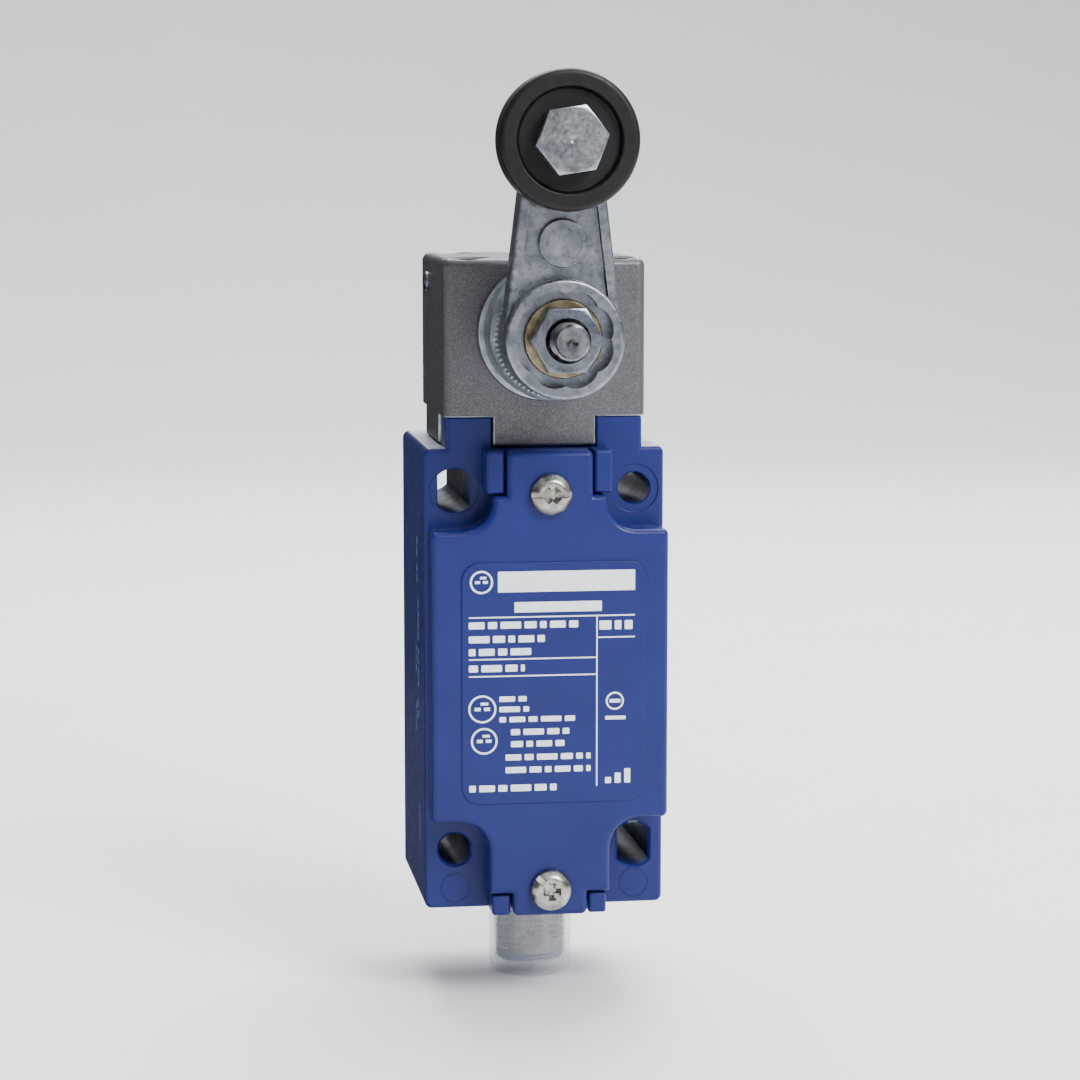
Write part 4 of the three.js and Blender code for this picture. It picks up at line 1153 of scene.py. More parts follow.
@dataclass(frozen=True)
class CoverOutline:
    """The stepped outline that the cover, its seal and the land beneath share."""

    side: float = 19.6
    shoulder: float = 24.0
    ledge: float = 29.7
    top_step: float = 9.3
    bottom_step: float = 10.0
    top_tab: float = 7.1
    bottom_tab: float = 6.2
    step_up: float = 3.8
    top_pocket: float = 5.7
    bottom_pocket: float = 5.0
    edge: float = 1.0

    def drawn(self, by: float = 0.0) -> list[Corner]:
        """The outline's corners, drawn in by a distance."""
        edge = max(self.edge - by, 0.3)
        step = AT.bottom + self.step_up + by
        ledge = self.ledge - by
        right = [
            (self.bottom_tab - by, AT.bottom + by, edge), (self.bottom_tab - by, step, 0.25),
            (self.bottom_step - by, step, 0.5),
            (self.bottom_step - by, -self.shoulder + by, self.bottom_pocket + by),
            (self.side - by, -self.shoulder + by, edge), (self.side - by, self.shoulder - by, edge),
            (self.top_step - by, self.shoulder - by, self.top_pocket - 0.6 + by),
            (self.top_step - by, ledge, 0.5), (self.top_tab - by, ledge, 0.25),
            (self.top_tab - by, AT.top - by, edge)
        ]
        return right + [(-x, z, r) for x, z, r in reversed(right)]


def four_corners(pitch: float) -> list[tuple[float, float]]:
    """The places round the head's axis, a pitch apart, that the posts and the head's screws share."""
    return [(sx * pitch / 2, AT.axis_y + sy * pitch / 2) for sx in (-1, 1) for sy in (-1, 1)]


COVER_OUTLINE = CoverOutline()
SCREW_HEIGHTS = (30.0, -35.5)
WELL_HEIGHTS = (-31.0, 25.5)  # the hollow behind the cover


# ---------- body ----------


@dataclass
class Housing:
    """The die-cast body: blue outside, bare zinc on the deck, the posts' inner faces and the inside."""

    corner: float = 1.2
    fixing_x: float = 15.0
    fixing_z: float = 30.0
    bore: float = 5.3
    slot: float = 7.3
    spot: float = 8.2
    post: float = 7.6
    pitch: float = 25.0
    recess: float = 27.6
    recess_floor: float = 34.5
    opening: float = 17.0
    mark: float = 5.1
    deck: float = field(init=False)

    def __post_init__(self) -> None:
        """Takes the deck's height from the model."""
        self.deck = AT.top

    def post_shape(self, sx: int, sy: int) -> Shape:
        """One corner post, rounded on its outer rear corner."""
        half = self.post / 2
        cx, cy = sx * self.pitch / 2, AT.axis_y + sy * self.pitch / 2
        outer = 2.4 if sy > 0 else 0.7

        def r(ix: int, iy: int) -> float:
            return outer if (ix, iy) == (sx, sy) else 0.35

        outline = [
            (cx - half, cy - half, r(-1, -1)), (cx + half, cy - half, r(1, -1)),
            (cx + half, cy + half, r(1, 1)), (cx - half, cy + half, r(-1, 1))
        ]
        return plan_plate(outline, self.deck - 1, AT.seat, edge=0.3)

    def fixing_tools(self) -> list[Shape]:
        """The four fixing holes with their chamfers and spot faces, and two round die marks."""
        tools = []
        for sx, sz, slotted in ((-1, 1, True), (1, 1, False), (-1, -1, False), (1, -1, True)):
            x, z = sx * self.fixing_x, sz * self.fixing_z
            if slotted:
                half, rise = self.bore / 2, math.sqrt((self.slot / 2) ** 2 - (self.bore / 2) ** 2)
                arc = math.atan2(rise, half)
                outline = []
                for start in (arc, math.pi + arc):
                    for k in range(17):
                        dx, dz = polar(self.slot / 2, start + (math.pi - 2 * arc) * k / 16)
                        outline.append((x + dx, z + dz))
                tools.append(front_plate(outline, 1, AT.ear - 1))
                flare = [inset(outline, -0.9), inset(outline, 0.0)]
                tools.append(
                    Shape().loft(
                        [
                            [Vector((a, y, b)) for a, b in o]
                            for o, y in zip(flare, (AT.ear - 0.5, AT.ear + 0.4))
                        ]
                    )
                )
            else:
                tools.append(rod(self.bore / 2, AT.ear - 1, 1, Axis.Y, 64, (x, 0, z)))
                tools.append(sink(self.bore / 2, 0.4, AT.ear, x, z))
            if sz > 0:
                tools.append(
                    lathe(
                        [
                            (0, AT.ear - 1, 0), (self.spot / 2, AT.ear - 1, 0),
                            (self.spot / 2, AT.ear + 0.22, 0.2), (0, AT.ear + 0.22, 0)
                        ],
                        Axis.Y, 72, (x, 0, z)
                    )
                )
            else:
                tools.append(
                    tube(
                        self.mark / 2, self.mark / 2 - 0.3, AT.ear - 1, AT.ear + 0.12, Axis.Y, 64,
                        (x, 0, -36.5)
                    )
                )
        return tools

    def build(self, kit: Kit) -> None:
        """Makes the housing."""
        half = AT.half_width
        base = front_plate(
            oblong(-half, half, AT.bottom, self.deck, self.corner), 0, AT.ear, edge=0.8, rear_edge=0.4
        )
        land = front_plate(COVER_OUTLINE.drawn(0.3), AT.ear + 1, AT.ear - 2, edge=0.15)
        pads = []
        for side in (-1, 1):
            t = sorted((side * 7.4, side * 10.4))
            b = sorted((side * 6.5, side * 9.5))
            pads.append(front_plate(oblong(*t, 30.0, self.deck, 0.5), AT.ear + 1, -41.5, edge=0.6))
            pads.append(front_plate(oblong(*b, AT.bottom, -36.5, 0.5), AT.ear + 1, -41.5, edge=0.6))
        posts = [self.post_shape(sx, sy) for sx in (-1, 1) for sy in (-1, 1)]
        chamber = carved(
            front_plate(COVER_OUTLINE.drawn(2.6), -4, -38),
            [keeping(box(-half, half, -38, 0, *WELL_HEIGHTS))]
        ).paint(1)
        holes = [rod(2.3, -38, -28.5, Axis.Y, 40, (0, 0, z)) for z in SCREW_HEIGHTS]
        mouth = [(0, AT.seat - 0.5), (2.2, AT.seat - 0.5), (3.2, AT.seat + 0.5), (0, AT.seat + 0.5)]
        for x, y in four_corners(self.pitch):
            holes.append(rod(2.3, AT.seat - 7.5, AT.seat + 1, Axis.Z, 40, (x, y, 0)))
            holes.append(turned(mouth, Axis.Z, 40, (x, y, 0)))
        seat = lathe(
            [
                (0, self.recess_floor, 0), (self.recess / 2, self.recess_floor, 0.3),
                (self.recess / 2, 43, 0), (0, 43, 0)
            ],
            Axis.Z, 120, (0, AT.axis_y, 0)
        )
        holes += [
            seat, rod(self.opening / 2, 21.4, 36, Axis.Z, 96, (0, AT.axis_y, 0)),
            rod(9.05, AT.bottom - 1, AT.bottom + 6.3, Axis.Z, 96, (0, AT.entry_y, 0)),
            rod(7.0, AT.bottom + 5, -30, Axis.Z, 72, (0, AT.entry_y, 0))
        ]
        for hole in holes:
            hole.paint(1)
        steps = [joining(land, *pads, *posts), removing(*self.fixing_tools()), removing(chamber, *holes)]
        kit.piece("housing_casting", base, [BLUE_ENAMEL, BARE_ZINC], "body", ["housing"], steps, self.bare)

    def bare(self, shape: Shape) -> None:
        """Leaves the machined faces and the inside unpainted."""
        half = AT.half_width

        def pick(face) -> bool:
            c, n = face.calc_center_median(), face.normal
            toward = Vector((-c.x, AT.axis_y - c.y, 0.0))
            reach = toward.length
            toward.normalize()
            if c.z > self.deck - 0.05 and n.z > 0.7 and -34.6 < c.y < -0.4 and abs(c.x) < half - 0.3:
                return True
            if c.z > self.deck + 0.02 and n.dot(toward) > 0.3:
                return True
            if c.z > self.recess_floor - 0.1 and reach < self.recess / 2 + 0.1:
                return True
            inside = abs(c.x) < 17.05 and -31.1 < c.z < 25.6 and -36.9 < c.y < -3.9
            return inside and not (
                abs(abs(c.x) - self.fixing_x) < 3.8 and abs(abs(c.z) - self.fixing_z) < 3.8
            )

        shape.paint(1, pick)


@dataclass
class Cover:
    """The blue cover with its raised label panel, its seal and its two screws."""

    edge: float = 1.0
    left: float = -14.7
    right: float = 16.0
    low: float = -21.0
    high: float = 19.0
    raise_by: float = 0.3
    corner: float = 3.0

    def build(self, kit: Kit) -> None:
        """Makes the cover, its seal and its screws."""
        front, back = AT.cover_front, AT.cover_back
        plate = front_plate(COVER_OUTLINE.drawn(), back, front, edge=self.edge, rear_edge=0.2)
        panel = front_plate(
            oblong(self.left, self.right, self.low, self.high, self.corner), front + 1,
            front - self.raise_by, edge=0.28
        )
        hollow = carved(
            front_plate(COVER_OUTLINE.drawn(2.6), back + 1, front + 2.5),
            [keeping(box(-20, 20, -45, -30, *WELL_HEIGHTS))]
        ).paint(1)
        holes = []
        for z in SCREW_HEIGHTS:
            holes.append(rod(2.3, front - 1, back + 1, Axis.Y, 40, (0, 0, z)))
            holes.append(sink(2.3, 0.35, front, 0, z))
        kit.piece(
            "cover_casting", plate, [BLUE_ENAMEL, BARE_ZINC], "cover_body", ["cover"],
            [joining(panel), removing(hollow, *holes)]
        )
        seal = front_plate(COVER_OUTLINE.drawn(0.25), back + 0.95, back + 0.05, edge=0.25, rear_edge=0.25)
        opening = carved(
            front_plate(COVER_OUTLINE.drawn(2.3), back + 2, back - 1),
            [keeping(box(-20, 20, -45, -30, *WELL_HEIGHTS))]
        )
        seal_holes = [rod(2.3, back - 1, back + 2, Axis.Y, 40, (0, 0, z)) for z in SCREW_HEIGHTS]
        kit.piece(
            "cover_seal", seal, BLACK_RUBBER, "body", ["cover_gasket"], [removing(opening, *seal_holes)]
        )
        for name, z, turn_by in (("top", SCREW_HEIGHTS[0], 0.0), ("bottom", SCREW_HEIGHTS[1], math.pi / 4)):
            screw = PanScrew().shape(turn_by).move(0, front, z)
            kit.piece(
                f"cover_screw_{name}_turned", screw, PLATED_STEEL, "cover_body", [f"cover_screw_{name}"]
            )


# ---------- connector ----------


@dataclass
class Connector:
    """The M12 connector: a black adapter, a nickel-plated shell with its thread, and what it holds."""

    spigot: float = 8.75
    cone: float = 11.5
    neck: float = 7.0
    flange: float = 7.3
    crest: float = 5.9
    pitch: float = 1.0
    pin_circle: float = 2.5

    def build(self, kit: Kit) -> None:
        """Makes the connector from its shell upwards."""
        at = (0, AT.entry_y, AT.bottom)
        adapter = fillet(
            [
                (5.9, 6, 0), (5.9, -2.5, 0.2), (self.neck, -2.5, 0.2), (self.cone, -0.35, 0.2),
                (self.cone, -0.06, 0.05), (self.spigot, -0.06, 0), (self.spigot, 6, 0.4)
            ]
        )
        kit.piece(
            "connector_adapter_moulded", turned(adapter, Axis.Z, 96, at), BLACK_NYLON, "body",
            ["connector_adapter"]
        )
        end = -13.15
        flange = fillet(
            [(3.0, -2.55, 0), (self.flange, -2.55, 0.2), (self.flange, -3.55, 0.25), (3.0, -3.55, 0)]
        )
        screw = thread(self.crest - 0.55, self.crest, self.pitch, end, -3.45, 72, 0.5).move(*at)
        groove = tube(8, self.crest - 0.9, end + 0.5, end + 1.6, Axis.Z, 96, at)
        neck = rod(5.35, -3.0, 4.0, Axis.Z, 72, at)
        bore = rod(4.35, end - 1, 5, Axis.Z, 72, at)
        key = box(-0.6, 0.6, AT.entry_y + 3.6, AT.entry_y + 4.8, AT.bottom + end, AT.bottom - 4)
        shell = turned(flange, Axis.Z, 96, at)
        kit.piece(
            "connector_shell_turned", shell, NICKEL, "body", ["connector_shell"],
            [joining(screw, neck), removing(bore, groove)]
        )
        angles = [TURN * i / 20 for i in range(20)]
        section = [(5.32 + 0.42 * math.cos(a), end + 1.05 + 0.5 * math.sin(a)) for a in angles]
        ring = turned(section, Axis.Z, 96, at)
        kit.piece("connector_sealing_ring", ring, BLUE_RUBBER, "body", ["connector_o_ring"])
        insert = lathe(
            [(0, end + 3, 0), (4.2, end + 3, 0.35), (4.2, 3.5, 0.2), (0, 3.5, 0)], Axis.Z, 72, at
        )
        circle = [polar(self.pin_circle, math.pi / 4 + k * math.pi / 2) for k in range(4)]
        places = [(x, AT.entry_y + y, AT.bottom) for x, y in circle]
        holes = [rod(0.62, end, 5, Axis.Z, 24, place) for place in places]
        flare = [(0, end + 2.5), (0.95, end + 2.5), (0.62, end + 3.25), (0, end + 3.25)]
        rings = [turned(flare, Axis.Z, 24, place) for place in places]
        kit.piece(
            "connector_insert_moulded", insert, BLACK_NYLON, "body", ["connector_insert"],
            [removing(key, *holes, *rings)]
        )
        rounded_pin = [(0, end + 0.6, 0), (0.5, end + 0.6, 0.45), (0.5, 5.0, 0.1), (0, 5.0, 0)]
        for number, place in enumerate(places, 1):
            pin = lathe(rounded_pin, Axis.Z, 32, place)
            kit.piece(f"connector_pin_{number}_turned", pin, BRASS, "body", [f"connector_pin_{number}"])


@dataclass
class ProtectiveCap:
    """The translucent plug-on cap: thin walls, a domed bottom and fine ribs inside."""

    outer: float = 7.1
    inner: float = 6.25
    height: float = 11.6
    ribs: int = 8

    def build(self, kit: Kit) -> None:
        """Makes the cap."""
        low, high = span("protective_cap")
        at = (0, AT.entry_y, low.z)
        h = high.z - low.z
        profile = fillet(
            [
                (0, 0.25, 0), (4.2, 0.25, 0.6), (5.0, 0, 0.5), (self.outer - 0.1, 0.1, 1.9),
                (self.outer, h, 0.3), (self.inner, h, 0.1), (self.inner - 0.1, 1.4, 0.7), (0, 1.4, 0)
            ],
            6
        )
        rise = h - 4.1
        middle = (0, AT.entry_y, low.z + 3.5 + rise / 2)
        ribs = blocks_round(self.ribs, self.inner + 0.02, (0.6, 0.5, rise), middle, CAP_PLASTIC, start=0.16)
        cap = turned(profile, Axis.Z, 120, at)
        kit.piece(
            "protective_cap_moulded", cap, CAP_PLASTIC, "cap_body", ["protective_cap"], [joining(ribs)]
        )


# ---------- head ----------


@dataclass
class Head:
    """The head's casting: painted outside, bare zinc on the collar and underneath."""

    size: float = 33.5
    height: float = 26.0
    edge: float = 1.3
    arm: float = 17.0
    rim: float = 13.4
    disc: float = 12.7
    chamber: float = 9.36
    pitch: float = 25.0
    counterbore: float = 7.4

    def build(self, kit: Kit) -> None:
        """Makes the casting."""
        half, arm, y = self.size / 2, self.arm / 2, AT.axis_y
        low = AT.seat
        front = y - half

        def plan(dx: float, dy: float, radius: float) -> list[Corner]:
            return oblong(-dx, dx, y - dy, y + dy, radius)

        base = plan_plate(plan(half, half, 1.5), low, low + self.height, edge=self.edge, low_edge=0.35)
        arms = [
            plan_plate(plan(half - 0.02, arm, 0.5), low - 4.7, low + 2, low_edge=0.4),
            plan_plate(plan(arm, half - 0.02, 0.5), low - 4.7, low + 2, low_edge=0.4)
        ]
        rim = lathe(
            [(0, low - 6.2, 0), (self.rim, low - 6.2, 0.25), (self.rim, low + 1, 0), (0, low + 1, 0)],
            Axis.Z, 128, (0, y, 0)
        )
        boss = lathe(
            [(0, front - 1.6, 0), (11.25, front - 1.6, 0.35), (11.25, y, 0), (0, y, 0)], Axis.Y, 120,
            (0, 0, AT.shaft_z)
        )
        collar_front = front - 6.7
        collar = lathe(
            [
                (0, collar_front, 0), (10.4, collar_front, 0.3), (10.4, collar_front + 4.0, 0.2),
                (10.15, collar_front + 4.3, 0.2), (10.15, y, 0), (0, y, 0)
            ],
            Axis.Y, 120, (0, 0, AT.shaft_z)
        )
        cuts = [
            rod(self.chamber, low - 7, low + self.height - 3.5, Axis.Z, 96, (0, y, 0)),
            rod(self.disc, low - 7, low - 3.85, Axis.Z, 128, (0, y, 0)),
            rod(7.8, collar_front - 1, y, Axis.Y, 96, (0, 0, AT.shaft_z)),
            rod(3.65, y, y + 13.6, Axis.Y, 64, (0, 0, AT.shaft_z)),
            rod(1.65, -half - 1, -half + 4.3, Axis.X, 32, (0, -13.3, AT.shaft_z + 7.5))
        ]
        top, wide = low + self.height, self.counterbore / 2
        foot = [(0, low - 1), (3.75, low - 1), (2.3, low + 0.45), (0, low + 0.45)]
        mouth = [(0, top - 0.35), (wide, top - 0.35), (wide + 0.9, top + 0.55), (0, top + 0.55)]
        for place in four_corners(self.pitch):
            at = (*place, 0)
            cuts.append(rod(2.3, low - 1, top + 1, Axis.Z, 48, at))
            cuts.append(turned(foot, Axis.Z, 48, at))
            cuts.append(rod(wide, top - 4, top + 1, Axis.Z, 64, at))
            cuts.append(turned(mouth, Axis.Z, 64, at))
        kit.piece(
            "head_casting", base, [GREY_ENAMEL, BARE_ZINC], "head_body", ["head_housing"],
            [joining(*arms, rim, boss, collar), removing(*cuts)], self.bare
        )
        self.fittings(kit)

    def bare(self, shape: Shape) -> None:
        """Leaves the underside, the insides and the turned collar unpainted."""
        half = self.size / 2

        def pick(face) -> bool:
            c, n = face.calc_center_median(), face.normal
            reach = math.hypot(c.x, c.y - AT.axis_y)
            if n.z < -0.5 and c.z < AT.seat + 0.6:
                return True
            if reach < self.rim + 0.1 and c.z < AT.seat + 23 and c.y > AT.axis_y - 11:
                return True
            if c.z < AT.seat - 0.02:
                return max(abs(c.x), abs(c.y - AT.axis_y)) < half - 0.1 or n.z < -0.3
            bore = math.hypot(c.x, c.z - AT.shaft_z) < 7.9 and abs(n.y) < 0.3
            return c.y < AT.axis_y - half - 1.55 or (bore and c.y < AT.axis_y - 5)

        shape.paint(1, pick)

    def fittings(self, kit: Kit) -> None:
        """Makes the screws, the side pin and the disc that keeps the plunger in."""
        low, y = AT.seat, AT.axis_y
        number = 0
        for sy in (-1, 1):
            for sx in (-1, 1):
                number += 1
                screw = PanScrew(reach=29.2).shape(0.7 * number).turn(-math.pi / 2, Axis.X)
                screw.move(sx * self.pitch / 2, y + sy * self.pitch / 2, low + self.height - 4)
                kit.piece(
                    f"head_screw_{number}_turned", screw, PLATED_STEEL, "head_body",
                    [f"head_screw_{number}"]
                )
        dome = lathe(
            [
                (0, 4, 0), (1.5, 4, 0.2), (1.5, -0.05, 0), (1.65, -0.05, 0.05), (1.65, -0.5, 0.25),
                (1.1, -0.95, 0.4), (0, -0.95, 0)
            ],
            Axis.X, 48, (-self.size / 2, -13.3, AT.shaft_z + 7.5)
        )
        kit.piece("side_pin_pressed", dome, DARK_STEEL, "head_body", ["side_pin"])
        disc_low, disc_high = span("retaining_disc")
        plate = lathe(
            [
                (7.7, disc_low.z, 0.15), (12.64, disc_low.z, 0.15), (12.64, disc_high.z, 0.1),
                (7.7, disc_high.z, 0.1)
            ],
            Axis.Z, 144, (0, y, 0)
        )
        notch = box(0, 8.5, y - 1.8, y + 1.8, disc_low.z - 1, disc_high.z + 1)
        cuts = notch.copies(4, Axis.Z, (0, y, 0))
        bite = box(11.9, 13.5, y - 0.55, y + 0.55, disc_low.z - 1, disc_low.z + 0.7)
        cuts += bite.copies(4, Axis.Z, (0, y, 0), math.pi / 4)
        stake = rod(0.75, disc_low.z - 0.05, disc_low.z + 0.28, Axis.Z, 32, (11.2, y, 0))
        kit.piece(
            "retaining_disc_moulded", plate, GREY_ACETAL, "head_body", ["retaining_disc"],
            [removing(*cuts, *stake.copies(4, Axis.Z, (0, y, 0), math.pi / 4 + 0.05))]
        )


@dataclass
class Plunger:
    """The head's plunger: a black splined sleeve with a scalloped rim, four keys and a white tip."""

    radius: float = 7.0
    keys: int = 4
    splines: int = 36

    def build(self, kit: Kit) -> None:
        """Makes the sleeve and the tip."""
        low, high = span("plunger_sleeve")
        y = AT.axis_y
        flange = 9.06
        profile = fillet(
            [
                (2.3, low.z, 0.1), (4.2, low.z, 0.0), (4.2, low.z + 0.15, 0.0), (4.6, low.z + 0.15, 0.0),
                (4.6, low.z, 0.0), (5.9, low.z, 0.5), (6.55, low.z + 0.6, 0.2), (6.55, low.z + 1.5, 0.1),
                (6.9, low.z + 1.9, 0.2), (6.9, low.z + 3.2, 0.1), (6.55, low.z + 3.5, 0.1),
                (6.55, high.z - 1.6, 0), (flange, high.z - 1.6, 0.1), (flange, high.z, 0.1),
                (2.3, high.z, 0)
            ]
        )
        base = turned(profile, Axis.Z, 144, (0, y, 0))
        cap = rod(2.5, low.z + 12.3, high.z - 0.01, Axis.Z, 48, (0, y, 0))
        key = box(6.0, 8.2, y - 1.5, y + 1.5, 33.5, 43.2)
        rise = high.z - low.z - 6.0
        splines = blocks_round(
            self.splines, 6.6, (0.6, 0.5, rise), (0, y, low.z + 4.0 + rise / 2), BLACK_NYLON,
            start=TURN / self.splines / 2
        )
        scallop = rod(0.33, low.z - 1, low.z + 3.4, Axis.Z, 12, (7.02, y, 0))
        pip = rod(0.55, low.z - 1, low.z + 0.12, Axis.Z, 24, (5.2, y, 0)).turn(-0.7, Axis.Z, (0, y, 0))
        steps = [
            joining(cap, *key.copies(self.keys, Axis.Z, (0, y, 0))), joining(splines),
            removing(*scallop.copies(48, Axis.Z, (0, y, 0)), pip)
        ]
        kit.piece("plunger_sleeve_moulded", base, BLACK_NYLON, "plunger_body", ["plunger_sleeve"], steps)
        tip_low, tip_high = span("plunger_tip")
        tip = lathe(
            [
                (0, tip_low.z, 0), (1.55, tip_low.z, 0.8), (1.95, tip_low.z + 1.2, 0.4),
                (1.95, tip_high.z, 0.2), (0, tip_high.z, 0)
            ],
            Axis.Z, 64, (0, y, 0), 6
        )
        kit.piece("plunger_tip_moulded", tip, WHITE_ACETAL, "plunger_body", ["plunger_tip"])


# ---------- shaft and lever ----------


@dataclass
class Shaft:
    """The operating shaft with its stud, the cam, the toothed ring and the castellated hub."""

    ring: float = 10.5
    teeth: int = 72
    hub: float = 7.05
    castles: int = 8
    slot: float = 2.4

    def build(self, kit: Kit) -> None:
        """Makes the shaft's pieces."""
        at = (0, 0, AT.shaft_z)
        shaft_low, shaft_high = span("operating_shaft")
        ring_low, ring_high = span("indexing_ring")
        rear, front, tip = ring_high.y, ring_low.y, shaft_low.y
        core = fillet(
            [
                (0, shaft_high.y, 0), (3.5, shaft_high.y, 0.4), (3.5, AT.axis_y + 7.7, 0),
                (4.8, AT.axis_y + 7.7, 0.2), (4.8, rear + 0.05, 0.1), (4.3, rear + 0.05, 0),
                (4.3, front, 0.2), (2.4, front, 0), (2.4, front - 1.4, 0), (0, front - 1.4, 0)
            ]
        )
        stud = thread(2.42, 2.95, 1.0, 0, front - 0.9 - tip, 56, 0.9).turn(math.pi / 2, Axis.X).move(
            0, front - 0.9, AT.shaft_z
        )
        centre = turned(
            [(0, tip - 1), (1.0, tip - 1), (1.0, tip - 0.01), (0.05, tip + 0.8), (0, tip + 0.8)], Axis.Y,
            32, at
        )
        kit.piece(
            "operating_shaft_turned", turned(core, Axis.Y, 96, at), DARK_STEEL, "shaft_body",
            ["operating_shaft"], [joining(stud), removing(centre)]
        )
        web = rear - 1.8
        ring = fillet(
            [
                (4.46, rear, 0.1), (self.ring - 0.35, rear, 0.2), (self.ring - 0.35, rear - 0.5, 0.05),
                (self.ring, rear - 0.6, 0.15), (self.ring, front + 1.0, 0.2), (self.ring - 0.7, front, 0.1),
                (7.2, front, 0.15), (7.2, web, 0), (4.46, web, 0)
            ]
        )
        kit.piece(
            "indexing_ring_cast", turned(ring, Axis.Y, 144, at), BARE_ZINC, "shaft_body", ["indexing_ring"],
            [removing(self.tooth_cuts(front))]
        )
        hub_low = span("castellated_hub")[0].y
        hub = fillet(
            [
                (4.46, web - 0.05, 0), (self.hub, web - 0.05, 0.1), (self.hub, hub_low, 0.35),
                (4.46, hub_low, 0.35)
            ]
        )
        slot = box(
            0, self.hub + 1, hub_low - 1, front, AT.shaft_z - self.slot / 2, AT.shaft_z + self.slot / 2
        )
        kit.piece(
            "castellated_hub_cast", turned(hub, Axis.Y, 128, at), BARE_ZINC, "shaft_body",
            ["castellated_hub"], [removing(*slot.copies(self.castles, Axis.Y, at))]
        )
        cam_low, cam_high = span("cam")
        cam = lathe(
            [
                (4.95, cam_low.y, 0.1), (7.2, cam_low.y, 0.4), (7.2, cam_high.y, 0.4),
                (4.95, cam_high.y, 0.1)
            ],
            Axis.Y, 96, at
        )
        flat = box(-8, 8, cam_low.y - 1, cam_high.y + 1, AT.shaft_z - 8, AT.shaft_z - 5.6)
        kit.piece("cam_turned", cam, PLATED_STEEL, "shaft_body", ["cam"], [removing(flat)])

    def tooth_cuts(self, front: float) -> Shape:
        """Square-set blocks that stand on their edges, which cut vees across the ring's front rim."""
        side = math.pi * self.ring / self.teeth * 1.32
        cuts = blocks_round(self.teeth, 10.35, (2.4, side, side), (0, 0, 0), BARE_ZINC, lean=math.pi / 4)
        return cuts.turn(math.pi / 2, Axis.X).move(0, front - 0.12, AT.shaft_z)


